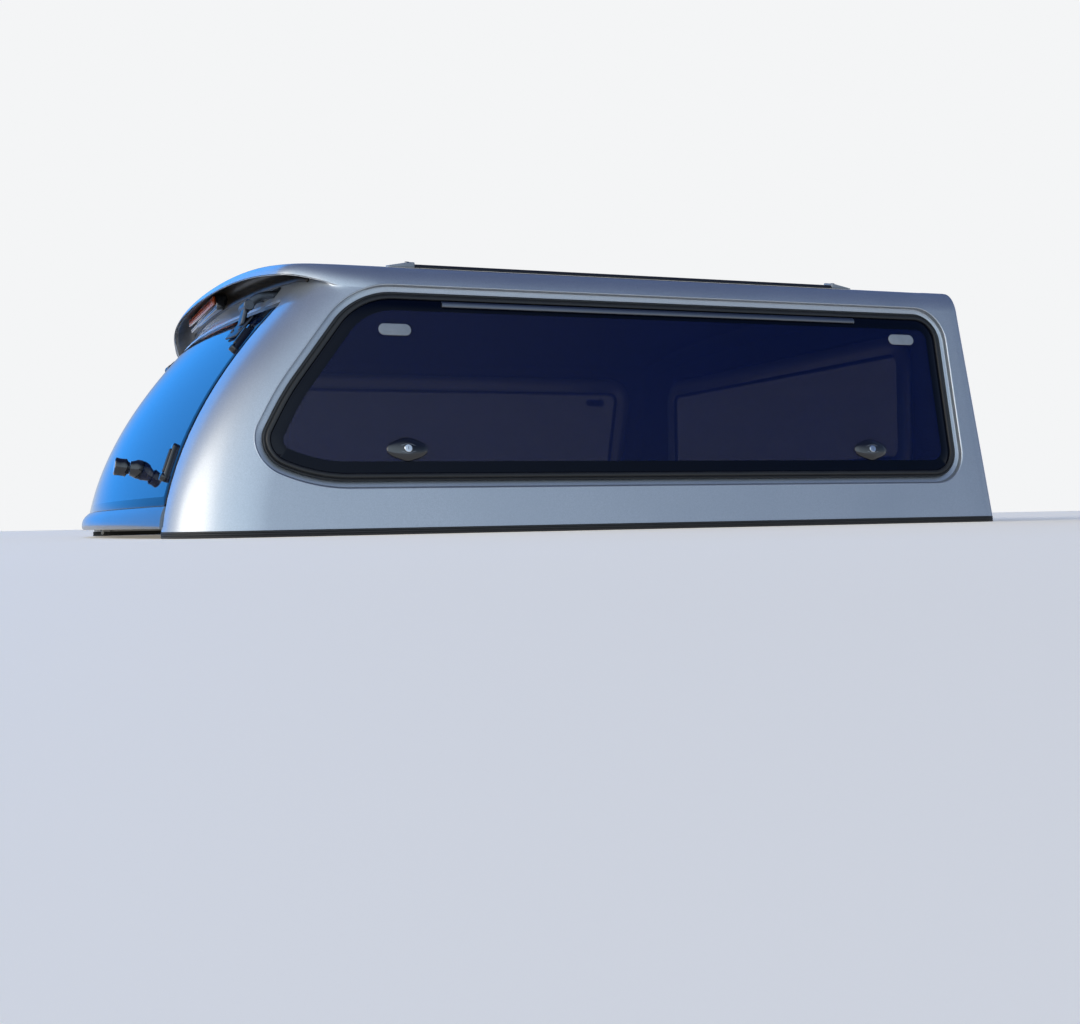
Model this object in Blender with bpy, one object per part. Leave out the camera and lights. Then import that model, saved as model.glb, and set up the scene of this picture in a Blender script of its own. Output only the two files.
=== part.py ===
"""Pickup truck canopy: a moulded shell on the tub rails, with fixed side and front windows,
a lift-up rear glass door under a roof visor, and two low roof tracks.

Frame: +Y towards the cab, +X to the right side of the vehicle, +Z up.
The origin is the middle of the footprint, on the top of the tub rails. Metres.
"""
from math import atan, cos, pi, radians, sin, tan

import bmesh
import bpy
from mathutils import Matrix, Vector

# Whole canopy
LENGTH = 1.811
WIDTH = 1.840
HEIGHT = 0.560
FIT_GAP = 0.0003

# Shell moulding
WALL = 0.006
SIDE_SLOPE = 0.24
SHOULDER_DROP = 0.098
SHOULDER_RADIUS = 0.065
SHOULDER_END = radians(82.0)
ROOF_CROWN = 0.049
ROOF_ROUND_SHARE = 0.35
FRONT_CORNER_RADIUS = 0.040
FRONT_TOP_SHARE = 0.35
BASE_FLANGE_WIDTH = 0.045
BASE_FLANGE_THICKNESS = 0.008

# Rear face, shared by the pillars and the glass door
PILLAR_WIDTH = 0.144
DOOR_SLOPE = 0.19
DOOR_BOW = 0.060
DOOR_TOP_BOW = 0.072
REAR_LEAN = 0.145
REAR_CURVE = 0.936

# Visor over the rear door
VISOR_REACH = 0.236
VISOR_BOW = 0.14
VISOR_ROOT = 0.36
VISOR_WING = 0.2045
VISOR_WING_RADIUS = 0.25
VISOR_CORNER_INSET = 0.205
VISOR_CORNER_RADIUS = 0.080
VISOR_DROOP = 0.8
VISOR_DROOP_LENGTH = 0.150
VISOR_RIM_SIDE = 0.058
VISOR_RIM_REAR = 0.022
VISOR_RIM_BLEND = (0.200, 0.070)
VISOR_RIM_WALL = 0.018
VISOR_SKIN = 0.010
VISOR_EDGE_SHARE = 0.45
LINER_THICKNESS = 0.003
LINER_LENGTH = 0.190
HOLLOW_DEPTH = 0.160

# Base gasket
SEAL_HEIGHT = 0.012
SEAL_WIDTH = 0.040
SEAL_SET_BACK = 0.001

# Side windows, outline of the painted recess in the side wall
WINDOW_BOTTOM = 0.085
WINDOW_DROP = 0.092
WINDOW_FRONT_MARGIN = 0.0585
WINDOW_FRONT_LEAN = 0.015
WINDOW_TIP_MARGIN = 0.1285
WINDOW_TIP_Z = 0.140
WINDOW_SWELL_MARGIN = 0.200
WINDOW_SWELL_Z = 0.270
WINDOW_HEEL_MARGIN = 0.2555
WINDOW_BROW_MARGIN = 0.3505
WINDOW_HEEL_RADIUS = 0.31
WINDOW_LOW_RADIUS = 0.075
WINDOW_HIGH_RADIUS = 0.070
WINDOW_BROW_RADIUS = 0.16
WINDOW_SWELL_RADIUS = 0.59
WINDOW_TIP_RADIUS = 0.065
WINDOW_RECESS = 0.012
WINDOW_FLANGE = 0.040
WINDOW_SEAL_OUTER = 0.012
WINDOW_SEAL_WIDTH = 0.014
WINDOW_SEAL_PROUD = 0.008
GLASS_THICKNESS = 0.005

# Fittings on a side window, placed from its outline's rear upper corner, front, top and bottom
HINGE_RAIL_HEIGHT = 0.012
HINGE_RAIL_DROP = 0.034
HINGE_RAIL_FRONT_MARGIN = 0.232
HINGE_RAIL_REAR_MARGIN = 0.172
HINGE_RAIL_PROUD = 0.0052
PAD_LENGTH = 0.063
PAD_HEIGHT = 0.023
PAD_PROUD = 0.003
REAR_PAD_MARGIN = 0.076
REAR_PAD_DROP = 0.086
FRONT_PAD_MARGIN = 0.117
FRONT_PAD_DROP = 0.072
LOCK_LENGTH = 0.078
LOCK_HEIGHT = 0.046
LOCK_PROUD = 0.010
LOCK_RISE = 0.070
REAR_LOCK_MARGIN = 0.080
FRONT_LOCK_MARGIN = 0.240

# Front window, towards the cab
FRONT_WINDOW_MARGIN = 0.300
FRONT_WINDOW_BOTTOM = 0.110
FRONT_WINDOW_DROP = 0.120
FRONT_WINDOW_RADIUS = 0.070

# Rear door
DOOR_CLEARANCE = 0.005
DOOR_TOP_CLEARANCE = 0.010
DOOR_DROP = 0.123
DOOR_RECESS = 0.0235
DOOR_FLANGE = 0.040
DOOR_GLASS = 0.006
DOOR_SEAL_WIDTH = 0.012
DOOR_SEAL_SET_BACK = 0.012
DOOR_RUNNING_GAP = 0.0130
GARNISH_BOTTOM = 0.018
GARNISH_NOSE = 0.034
GARNISH_TOP = 0.058
GARNISH_PROUD = 0.016
GARNISH_END_PROUD = 0.004
GARNISH_TURN_IN = 0.003
GARNISH_TOP_STEP = 0.002
GARNISH_DEPTH = 0.008

# Rear door hinges, placed from the visor's rear edge, the door's top and its side
HINGE_SET_IN = 0.0335
HINGE_RISE = 0.013
HINGE_MARGIN = 0.190
HINGE_BARREL_RADIUS = 0.010
HINGE_PIN_RADIUS = 0.004
HINGE_BORE_GAP = 0.0005
HINGE_ARM_WIDTH = 0.040
HINGE_EAR_WIDTH = 0.010
HINGE_SIDE_GAP = 0.0005
HINGE_PLATE = 0.006
HINGE_SEAT_GAP = 0.0006
HINGE_FOOT_LENGTH = 0.098
HINGE_FOOT_RISE = 0.034
HINGE_FOOT_THICKNESS = 0.020
HINGE_WEB_THICKNESS = 0.012
HINGE_WEB_LENGTH = 0.050
HINGE_PAD_MARGIN = 0.012
HINGE_PAD_DROP = 0.009
HINGE_PAD_HEIGHT = 0.043

# Covers on the rear glass: inset from the door's side, and height or drop from its top
COVER_WIDTH = 0.016
COVER_PROUD = 0.012
UPPER_COVER_INSETS = (0.028, 0.040)
UPPER_COVER_DROPS = (0.083, 0.040)
LOWER_COVER_INSETS = (0.038, 0.041)
LOWER_COVER_HEIGHTS = (0.111, 0.167)

# Door handle: a round base on the glass and an oval knob that turns on it
HANDLE_MARGIN = 0.250
HANDLE_Z = 0.135
HANDLE_TILT = radians(8.0)
HANDLE_BASE_RADIUS = 0.019
HANDLE_BASE_LENGTH = 0.022
HANDLE_NECK_RADIUS = 0.012
HANDLE_NECK_LENGTH = 0.003
HANDLE_KNOB_WIDTH = 0.028
HANDLE_KNOB_HEIGHT = 0.036
HANDLE_KNOB_LENGTH = 0.026

# Brake light in the visor
LIGHT_WIDTH = 0.400
LIGHT_HEIGHT = 0.034
LIGHT_DEPTH = 0.030
LIGHT_SET_IN = 0.0515
LENS_HEIGHT = 0.018
LENS_DROP = 0.003
LENS_THICKNESS = 0.006
LENS_END_MARGIN = 0.020

# Roof tracks, placed from the roof's shoulder, the rear face and the front wall
TRACK_SHOULDER_MARGIN = 0.039
TRACK_WIDTH = 0.034
TRACK_HEIGHT = 0.007
TRACK_GROOVE_WIDTH = 0.012
TRACK_GROOVE_DEPTH = 0.0035
TRACK_REAR_MARGIN = 0.4445
TRACK_FRONT_MARGIN = 0.2405
TRACK_CAP_LENGTH = 0.050
TRACK_CAP_RISE = 0.004
TRACK_CAP_TOE = 0.002
TRACK_CAP_FLAT = 0.35
TRACK_CAP_OVERLAP = 0.001

# Mesh fineness
FRONT_STEPS = 4
CORNER_STEPS = 4
SIDE_STEPS = 7
REAR_CORNER_STEPS = 6
REAR_STEPS = 6
SHOULDER_STEPS = 4
LEVEL_SHARES = (0.0, 0.22, 0.44, 0.64, 0.82, 1.0)
ROOF_SCALES = (0.84, 0.66, 0.46, 0.26, 0.10)
VISOR_SCALES = (0.85, 0.65, 0.42, 0.20)
VISOR_FRONT_SHARES = (0.4, 0.8)
VISOR_REAR_STEPS = 7
GARNISH_STEPS = 14
ROUND_SIDES = 20

# Places that follow from the sizes above
BASE_Z = SEAL_HEIGHT + FIT_GAP
FRONT_Y = LENGTH / 2
REAR_EDGE_Y = -LENGTH / 2 + DOOR_BOW + GARNISH_PROUD
SIDE_ANGLE = atan(SIDE_SLOPE)
SHOULDER_Z = HEIGHT - SHOULDER_DROP
SHOULDER_HALF = WIDTH / 2 - SIDE_SLOPE * SHOULDER_Z
SHOULDER_TOP_X = SHOULDER_HALF - SHOULDER_RADIUS * (cos(SIDE_ANGLE) - cos(SHOULDER_END))
SHOULDER_RISE = SHOULDER_RADIUS * (sin(SHOULDER_END) - sin(SIDE_ANGLE))
DOOR_WIDTH = WIDTH - 2 * PILLAR_WIDTH
DOOR_TOP = HEIGHT - DOOR_DROP
VISOR_Y = -LENGTH / 2 + VISOR_REACH
VISOR_WING_Y = VISOR_Y + VISOR_WING
VISOR_CORNER_X = WIDTH / 2 - VISOR_CORNER_INSET
HOLLOW_FLOOR = HEIGHT - HOLLOW_DEPTH
WINDOW_TOP = HEIGHT - WINDOW_DROP
WINDOW_FRONT_Y = FRONT_Y - WINDOW_FRONT_MARGIN
WINDOW_TIP_Y = REAR_EDGE_Y + WINDOW_TIP_MARGIN
WINDOW_SWELL_Y = REAR_EDGE_Y + WINDOW_SWELL_MARGIN
WINDOW_HEEL_Y = REAR_EDGE_Y + WINDOW_HEEL_MARGIN
WINDOW_BROW_Y = REAR_EDGE_Y + WINDOW_BROW_MARGIN
PAD_PLACES = {
    "rear": (WINDOW_BROW_Y + REAR_PAD_MARGIN, WINDOW_TOP - REAR_PAD_DROP),
    "front": (WINDOW_FRONT_Y - FRONT_PAD_MARGIN, WINDOW_TOP - FRONT_PAD_DROP),
}
LOCK_PLACES = {
    "rear": (WINDOW_BROW_Y + REAR_LOCK_MARGIN, WINDOW_BOTTOM + LOCK_RISE),
    "front": (WINDOW_FRONT_Y - FRONT_LOCK_MARGIN, WINDOW_BOTTOM + LOCK_RISE),
}
HINGE_Y = VISOR_Y + HINGE_SET_IN
HINGE_Z = DOOR_TOP + HINGE_RISE
HINGE_X = DOOR_WIDTH / 2 - HINGE_MARGIN
HANDLE_X = DOOR_WIDTH / 2 - DOOR_SLOPE * HANDLE_Z - HANDLE_MARGIN
LIGHT_Y = VISOR_Y + LIGHT_SET_IN
TRACK_X = SHOULDER_TOP_X - TRACK_SHOULDER_MARGIN

# Overlaps of the bodies that cut or join each other
FAR = LENGTH + WIDTH + HEIGHT
MIDDLE_STRIP = 0.10
UNDERCUT = 0.05
FLANGE_LAP = 0.008
WALL_BITE = 0.001
VISOR_SINK = 0.001

# Least corner radius, least drop of an edge ring, and how much of an edge its two corners may use
LEAST_RADIUS = 0.004
RING_DROP = 0.00001
EDGE_USE = 0.98

COLOURS = {
    "paint": ((0.20, 0.25, 0.34), 0.22, 0.75),
    "tinted_glass": ((0.010, 0.016, 0.040), 0.03, 0.0),
    "rubber": ((0.012, 0.012, 0.013), 0.65, 0.0),
    "black_plastic": ((0.020, 0.020, 0.022), 0.40, 0.0),
    "aluminium": ((0.45, 0.45, 0.46), 0.35, 1.0),
    "grey_plastic": ((0.33, 0.34, 0.36), 0.50, 0.0),
    "hinge_steel": ((0.30, 0.31, 0.32), 0.35, 1.0),
    "lens": ((0.45, 0.08, 0.05), 0.10, 0.0),
}


def clear_scene():
    """Remove whatever the scene already holds."""
    for old in list(bpy.data.objects):
        bpy.data.objects.remove(old, do_unlink=True)


def half_width(z):
    """Half width of the outer side wall at height z."""
    return WIDTH / 2 - SIDE_SLOPE * z


def door_half_width(z):
    """Half width of the rear door and its place at height z."""
    return DOOR_WIDTH / 2 - DOOR_SLOPE * z


def rear_edge_y(z):
    """y of the rear face where the door meets the pillars."""
    rise = z - BASE_Z
    return REAR_EDGE_Y + REAR_LEAN * rise + REAR_CURVE * rise * rise


def door_bow(z):
    """How far the middle of the rear face stands out from its edges at height z."""
    return DOOR_BOW + (DOOR_TOP_BOW - DOOR_BOW) * z / DOOR_TOP


def rear_y(x, z):
    """y of the bowed rear face."""
    share = x / door_half_width(z)
    return rear_edge_y(z) - door_bow(z) * (1.0 - share * share)


def rear_turn(z):
    """Angle through which the rear corner turns, from the side wall to the rear face."""
    return pi / 2 - atan(2.0 * door_bow(z) / door_half_width(z))


def rear_corner_radius(z):
    """Radius of the soft corner between a side wall and the rear face."""
    return (half_width(z) - door_half_width(z)) / (1.0 - cos(rear_turn(z)))


def roof_z(x):
    """Height of the roof's outer skin, which is flatter in the middle than a parabola."""
    share = x / SHOULDER_TOP_X
    fall = ROOF_ROUND_SHARE * share ** 2 + (1.0 - ROOF_ROUND_SHARE) * share ** 4
    return HEIGHT - ROOF_CROWN * fall


def roof_slope(x):
    """Angle by which the roof's outer skin falls outwards at x."""
    share = x / SHOULDER_TOP_X
    fall = 2.0 * ROOF_ROUND_SHARE * share + 4.0 * (1.0 - ROOF_ROUND_SHARE) * share ** 3
    return atan(ROOF_CROWN * fall / SHOULDER_TOP_X)


def crown_lift(x):
    """How far the roof's edge at x rises above the shoulder line."""
    return max(0.0, roof_z(x) - roof_z(SHOULDER_TOP_X))


def half_outline(z, inset, front_inset):
    """Plan outline of the right half at height z, from the front centre to the rear centre."""
    side = half_width(z) - inset
    front = FRONT_Y - front_inset
    nose = max(LEAST_RADIUS, FRONT_CORNER_RADIUS - inset)
    points = []
    for step in range(FRONT_STEPS):
        points.append((step / FRONT_STEPS * (side - nose), front))
    for step in range(CORNER_STEPS):
        turn = pi / 2 * (1.0 - step / CORNER_STEPS)
        points.append((side - nose + nose * cos(turn), front - nose + nose * sin(turn)))
    turn_total = rear_turn(z)
    outer = rear_corner_radius(z)
    radius = max(LEAST_RADIUS, outer - inset)
    start = rear_edge_y(z) + outer * sin(turn_total)
    for step in range(SIDE_STEPS):
        share = step / SIDE_STEPS
        points.append((side, (front - nose) * (1.0 - share) + start * share))
    for step in range(REAR_CORNER_STEPS):
        turn = turn_total * step / REAR_CORNER_STEPS
        points.append((side - radius + radius * cos(turn), start - radius * sin(turn)))
    edge = side - radius + radius * cos(turn_total)
    base_y = start - radius * sin(turn_total)
    bow = door_bow(z) * (edge / door_half_width(z)) ** 2
    for step in range(REAR_STEPS + 1):
        share = 1.0 - step / REAR_STEPS
        points.append((edge * share, base_y - bow * (1.0 - share * share)))
    return points


def full_ring(half):
    """Close a half outline of (x, y, z) points into a ring over both sides."""
    left = [(-x, y, z) for x, y, z in reversed(half[1:-1])]
    return half + left


def hull_rings(depth, base_z):
    """Rings of the skin that lies depth below the shell's outer surface."""
    rings = []
    top = SHOULDER_Z - depth * sin(SIDE_ANGLE)
    levels = [(base_z, 0.0)] if base_z < BASE_Z else []
    for share in LEVEL_SHARES:
        levels.append((max(base_z, BASE_Z + (SHOULDER_Z - BASE_Z) * share), share))
    levels[-1] = (top, 1.0)
    for level, share in levels:
        half = []
        for x, y in half_outline(level, depth / cos(SIDE_ANGLE), depth):
            half.append((x, y, level))
        rings.append(lift_to_crown(half, share, depth))
    reach = SHOULDER_RADIUS - depth
    for step in range(1, SHOULDER_STEPS + 1):
        turn = SIDE_ANGLE + (SHOULDER_END - SIDE_ANGLE) * step / SHOULDER_STEPS
        inset = SHOULDER_RADIUS * cos(SIDE_ANGLE) - reach * cos(turn)
        level = SHOULDER_Z - SHOULDER_RADIUS * sin(SIDE_ANGLE) + reach * sin(turn)
        front_inset = depth + (inset - depth) * FRONT_TOP_SHARE
        half = [(x, y, level) for x, y in half_outline(SHOULDER_Z, inset, front_inset)]
        rings.append(lift_to_crown(half, 1.0, depth))
    last = rings[-1]
    middle_y = (last[0][1] + last[len(last) // 2][1]) / 2
    for scale in ROOF_SCALES:
        ring = []
        for x, y, _ in last:
            ring.append((x * scale, middle_y + (y - middle_y) * scale, roof_z(x * scale) - depth))
        rings.append(ring)
    return rings


def lift_to_crown(half, share, depth):
    """Raise the front and rear of a ring to follow the roof's crown, and close the ring."""
    lifted = []
    last_side = len(half) - REAR_STEPS - 1
    for index, (x, y, z) in enumerate(half):
        height = z + crown_lift(x) * share
        if index >= last_side:
            y = y + rear_y(x, height) - rear_y(x, z)
        lifted.append((x, y, height))
    return full_ring(lifted)


def loft(name, rings, pole, low_pole=None):
    """Closed solid through rings of equal count, from a flat end or a pole up to a pole."""
    bm = bmesh.new()
    rows = [[bm.verts.new(point) for point in ring] for ring in rings]
    count = len(rows[0])
    for lower, upper in zip(rows, rows[1:]):
        for index in range(count):
            following = (index + 1) % count
            a, b, c, d = lower[index], lower[following], upper[following], upper[index]
            # the diagonal is mirrored between both halves, and is the same at every depth
            halves = ((a, b, c), (a, c, d)) if index < count / 2 else ((a, b, d), (b, c, d))
            for triangle in halves:
                bm.faces.new(triangle)
    close_with_fan(bm, rows[-1], pole)
    if low_pole is None:
        bm.faces.new(list(reversed(rows[0])))
    else:
        close_with_fan(bm, list(reversed(rows[0])), low_pole)
    return finish_mesh(name, bm)


def close_with_fan(bm, row, pole):
    """Close a ring with triangles that meet at a pole."""
    tip = bm.verts.new(pole)
    for index, vertex in enumerate(row):
        bm.faces.new((vertex, row[(index + 1) % len(row)], tip))


def finish_mesh(name, bm):
    """Make an object of a bmesh, with its faces turned outwards."""
    bmesh.ops.recalc_face_normals(bm, faces=bm.faces[:])
    mesh = bpy.data.meshes.new(name)
    bm.to_mesh(mesh)
    bm.free()
    obj = bpy.data.objects.new(name, mesh)
    bpy.context.scene.collection.objects.link(obj)
    return obj


def hull(depth, base_z=BASE_Z):
    """Solid body inside the skin that lies depth below the shell's outer surface."""
    rings = hull_rings(depth, base_z)
    last = rings[-1]
    middle_y = (last[0][1] + last[len(last) // 2][1]) / 2
    return as_guide(loft("guide_hull", rings, (0.0, middle_y, HEIGHT - depth)))


def prism(outline, axis, low, high):
    """Outline drawn square to an axis and extruded along it from low to high."""
    bm = bmesh.new()
    place = {
        "X": lambda a, b: (low, a, b),
        "Y": lambda a, b: (a, low, b),
        "Z": lambda a, b: (a, b, low),
    }[axis]
    travel = Vector({"X": (1, 0, 0), "Y": (0, 1, 0), "Z": (0, 0, 1)}[axis]) * (high - low)
    face = bm.faces.new([bm.verts.new(place(a, b)) for a, b in outline])
    made = bmesh.ops.extrude_face_region(bm, geom=[face], use_keep_orig=True)
    moved = [item for item in made["geom"] if isinstance(item, bmesh.types.BMVert)]
    bmesh.ops.translate(bm, verts=moved, vec=travel)
    return as_guide(finish_mesh("guide_prism", bm))


def as_guide(obj):
    """Mark an object as a cutter or guide."""
    obj.hide_render = True
    obj.display_type = "WIRE"
    return obj


def combine(obj, tool, operation, keep_tool=False):
    """Apply one Boolean with a tool, which is then removed unless it is kept."""
    modifier = obj.modifiers.new(operation.lower(), "BOOLEAN")
    modifier.operation = operation
    modifier.solver = "EXACT"
    modifier.object = tool
    bpy.context.view_layer.update()
    evaluated = obj.evaluated_get(bpy.context.evaluated_depsgraph_get())
    mesh = bpy.data.meshes.new_from_object(evaluated)
    obj.modifiers.clear()
    old = obj.data
    obj.data = mesh
    bpy.data.meshes.remove(old)
    if not keep_tool:
        bpy.data.objects.remove(tool, do_unlink=True)
    return obj


def rounded(corners, inset=0.0):
    """Outline of a polygon of (a, b, radius) corners, given counter-clockwise, moved inwards by
    inset, with each corner rounded."""
    count = len(corners)
    lines = []
    for index in range(count):
        start = Vector(corners[index][:2])
        end = Vector(corners[(index + 1) % count][:2])
        along = (end - start).normalized()
        inward = Vector((-along.y, along.x))
        lines.append((start + inward * inset, along))
    places = [crossing(lines[index - 1], lines[index]) for index in range(count)]
    turns = [lines[index - 1][1].angle(lines[index][1]) for index in range(count)]
    radii = [max(LEAST_RADIUS, corner[2] - inset) for corner in corners]
    cuts = [radii[index] * tan(turns[index] / 2) for index in range(count)]
    outline = []
    for index in range(count):
        following = (index + 1) % count
        back = (places[index] - places[index - 1]).length / (cuts[index] + cuts[index - 1])
        ahead = (places[following] - places[index]).length / (cuts[index] + cuts[following])
        share = min(1.0, EDGE_USE * back, EDGE_USE * ahead)
        radius = share * radii[index]
        outline += corner_arc(places[index], lines[index - 1][1], lines[index][1], radius)
    return outline


def crossing(first, second):
    """Point where two lines of (point, direction) cross."""
    (p, d), (q, e) = first, second
    span = d.x * e.y - d.y * e.x
    travel = ((q.x - p.x) * e.y - (q.y - p.y) * e.x) / span
    return p + d * travel


def corner_arc(corner, arriving, leaving, radius):
    """Points of the arc that rounds a convex corner."""
    turn = arriving.angle(leaving)
    cut = radius * tan(turn / 2)
    start = corner - arriving * cut
    centre = start + Vector((-arriving.y, arriving.x)) * radius
    spoke = start - centre
    steps = max(2, round(turn / radians(18.0)))
    points = []
    for step in range(steps + 1):
        angle = turn * step / steps
        turned = Vector((spoke.x * cos(angle) - spoke.y * sin(angle),
                         spoke.x * sin(angle) + spoke.y * cos(angle)))
        points.append(tuple(centre + turned))
    return points


def ellipse(centre, length, height, sides=ROUND_SIDES):
    """Outline of an ellipse."""
    return [(centre[0] + length / 2 * cos(2 * pi * step / sides),
             centre[1] + height / 2 * sin(2 * pi * step / sides)) for step in range(sides)]


def capsule(first, second, width):
    """Outline of a bar with round ends between two points."""
    a, b = Vector(first), Vector(second)
    along = (b - a).normalized()
    heading = along.angle_signed(Vector((1.0, 0.0)))
    points = []
    for end, start in ((b, -pi / 2), (a, pi / 2)):
        for step in range(7):
            angle = heading + start + pi * step / 6
            points.append((end.x + width / 2 * cos(angle), end.y + width / 2 * sin(angle)))
    return points


def skin_piece(name, outline, axis, outer, inner, side=1):
    """Piece cut from the shell's skin between two depths, inside an outline."""
    low, high = span_beyond(side)
    piece = prism(outline, axis, low, high)
    combine(piece, hull(outer, -UNDERCUT), "INTERSECT")
    combine(piece, hull(inner, -2 * UNDERCUT), "DIFFERENCE")
    return named(piece, name)


def span_beyond(side):
    """Span from just off the middle to well past the canopy on one side."""
    return (MIDDLE_STRIP, FAR) if side > 0 else (-FAR, -MIDDLE_STRIP)


def named(obj, name, material=None):
    """Turn a guide into a finished piece with its own name."""
    obj.name = name
    obj.data.name = name
    obj.hide_render = False
    obj.display_type = "TEXTURED"
    if material:
        paint(obj, material)
    return obj


def paint(obj, finish):
    """Give a piece its own material of a named finish."""
    colour, roughness, metallic = COLOURS[finish]
    material = bpy.data.materials.new(obj.name + "_" + finish)
    material.use_nodes = True
    shader = material.node_tree.nodes["Principled BSDF"]
    shader.inputs["Base Color"].default_value = (*colour, 1.0)
    shader.inputs["Roughness"].default_value = roughness
    shader.inputs["Metallic"].default_value = metallic
    obj.data.materials.clear()
    obj.data.materials.append(material)
    return obj


def flip_outline(outline):
    """Mirror an outline left to right and keep its direction."""
    return [(-a, b) for a, b in reversed(outline)]


def side_window_outline(inset):
    """Outline of a side window in y and z, inset from its painted recess."""
    corners = [
        (WINDOW_HEEL_Y, WINDOW_BOTTOM, WINDOW_HEEL_RADIUS),
        (WINDOW_FRONT_Y - WINDOW_FRONT_LEAN, WINDOW_BOTTOM, WINDOW_LOW_RADIUS),
        (WINDOW_FRONT_Y, WINDOW_TOP, WINDOW_HIGH_RADIUS),
        (WINDOW_BROW_Y, WINDOW_TOP, WINDOW_BROW_RADIUS),
        (WINDOW_SWELL_Y, WINDOW_SWELL_Z, WINDOW_SWELL_RADIUS),
        (WINDOW_TIP_Y, WINDOW_TIP_Z, WINDOW_TIP_RADIUS),
    ]
    return rounded(corners, inset)


def front_window_outline(inset):
    """Outline of the front window in x and z, inset from its painted recess."""
    half = WIDTH / 2 - FRONT_WINDOW_MARGIN
    high = HEIGHT - FRONT_WINDOW_DROP
    corners = [
        (-half, FRONT_WINDOW_BOTTOM, FRONT_WINDOW_RADIUS),
        (half, FRONT_WINDOW_BOTTOM, FRONT_WINDOW_RADIUS),
        (half, high, FRONT_WINDOW_RADIUS),
        (-half, high, FRONT_WINDOW_RADIUS),
    ]
    return rounded(corners, inset)


def door_outline(inset, bottom, top=DOOR_TOP):
    """Outline of the rear door in x and z, between two heights."""
    low_half = door_half_width(bottom) - inset
    high_half = door_half_width(top - inset) - inset
    high = top - inset
    return [(-low_half, bottom), (low_half, bottom), (high_half, high), (-high_half, high)]


def visor_edge_points():
    """Plan outline of the visor's right half, from its front inside the shell to the rear."""
    side = SHOULDER_HALF - VISOR_SINK
    front_y = VISOR_Y + VISOR_ROOT
    wing = Vector((side, VISOR_WING_Y))
    tail = Vector((VISOR_CORNER_X, visor_rear_y(VISOR_CORNER_X)))
    beside = VISOR_CORNER_X - 3 * VISOR_CORNER_RADIUS
    inner = Vector((beside, visor_rear_y(beside)))
    points = [(side, front_y)]
    into = Vector((0.0, -1.0))
    slant = (tail - wing).normalized()
    inwards = (inner - tail).normalized()
    points += [tuple(p) for p in clockwise_arc(wing, into, slant, VISOR_WING_RADIUS)]
    points += [tuple(p) for p in clockwise_arc(tail, slant, inwards, VISOR_CORNER_RADIUS)]
    start = points[-1][0]
    for step in range(1, VISOR_REAR_STEPS + 1):
        x = start * (1.0 - step / VISOR_REAR_STEPS)
        points.append((x, visor_rear_y(x)))
    return points, front_y


def visor_rear_y(x):
    """y of the visor's bowed rear edge."""
    return VISOR_Y + VISOR_BOW * x * x


def clockwise_arc(corner, arriving, leaving, radius):
    """Points of the arc that rounds a corner which turns to the right."""
    turn = arriving.angle(leaving)
    start = corner - arriving * (radius * tan(turn / 2))
    centre = start + Vector((arriving.y, -arriving.x)) * radius
    spoke = start - centre
    steps = max(3, round(turn / radians(15.0)))
    points = []
    for step in range(steps + 1):
        angle = -turn * step / steps
        points.append(centre + Vector((spoke.x * cos(angle) - spoke.y * sin(angle),
                                       spoke.x * sin(angle) + spoke.y * cos(angle))))
    return points


def visor_top(x, y):
    """Height of the visor's top skin."""
    behind = max(0.0, VISOR_Y + VISOR_DROOP_LENGTH - y)
    limited = min(abs(x), SHOULDER_TOP_X)
    return roof_z(limited) - VISOR_DROOP * behind * behind - VISOR_SINK


def visor_share(y):
    """0 on the visor's wings and 1 on its rear edge."""
    start, end = VISOR_RIM_BLEND
    return min(1.0, max(0.0, (VISOR_Y + start - y) / (start - end)))


def visor_ring(inset, drop, lower=0.0):
    """Ring round the visor, inset from its edge and dropped below its top skin."""
    edge, front_y = visor_edge_points()
    half = [(0.0, front_y)]
    half += [(edge[0][0] * share, front_y) for share in VISOR_FRONT_SHARES]
    count = len(edge)
    normals = []
    for index in range(count):
        before = Vector(edge[max(0, index - 1)])
        after = Vector(edge[min(count - 1, index + 1)])
        along = (after - before).normalized()
        normals.append(Vector((along.y, -along.x)))
    ring = []
    for x, y in half:
        x = min(x, edge[0][0] - inset)
        ring.append((x, y, visor_top(x, y) - drop - lower))
    for (x, y), inward in zip(edge, normals):
        scale = 1.0 + (VISOR_EDGE_SHARE - 1.0) * visor_share(y)
        # a ring on the rounded edge shrinks with it, a ring inside the rim doesn't
        travel = inset * scale if drop else inset
        top_x = x + inward.x * (SHOULDER_HALF - SHOULDER_TOP_X) * scale
        height = visor_top(top_x, y) - drop * scale - lower
        ring.append((x + inward.x * travel, y + inward.y * travel, height))
    return full_ring(ring)


def visor_solid():
    """Solid visor with its rounded edge."""
    rings = []
    edge, _ = visor_edge_points()
    low = visor_ring(0.0, SHOULDER_RISE)
    lowest = []
    for x, y, z in low:
        share = visor_share(y)
        rim = VISOR_RIM_SIDE + (VISOR_RIM_REAR - VISOR_RIM_SIDE) * share
        scale = 1.0 + (VISOR_EDGE_SHARE - 1.0) * share
        lowest.append((x, y, z + SHOULDER_RISE * scale - rim))
    rings.append(lowest)
    rings.append(low)
    for step in range(1, SHOULDER_STEPS + 1):
        turn = SIDE_ANGLE + (SHOULDER_END - SIDE_ANGLE) * step / SHOULDER_STEPS
        inset = SHOULDER_RADIUS * (cos(SIDE_ANGLE) - cos(turn))
        drop = SHOULDER_RADIUS * (sin(SHOULDER_END) - sin(turn))
        rings.append(visor_ring(inset, max(drop, RING_DROP)))
    inner, crown = visor_cover(rings[-1], 0.0)
    below = (0.0, crown[1], crown[2] - VISOR_RIM_REAR)
    return as_guide(loft("guide_visor", rings + inner, crown, below))


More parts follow.
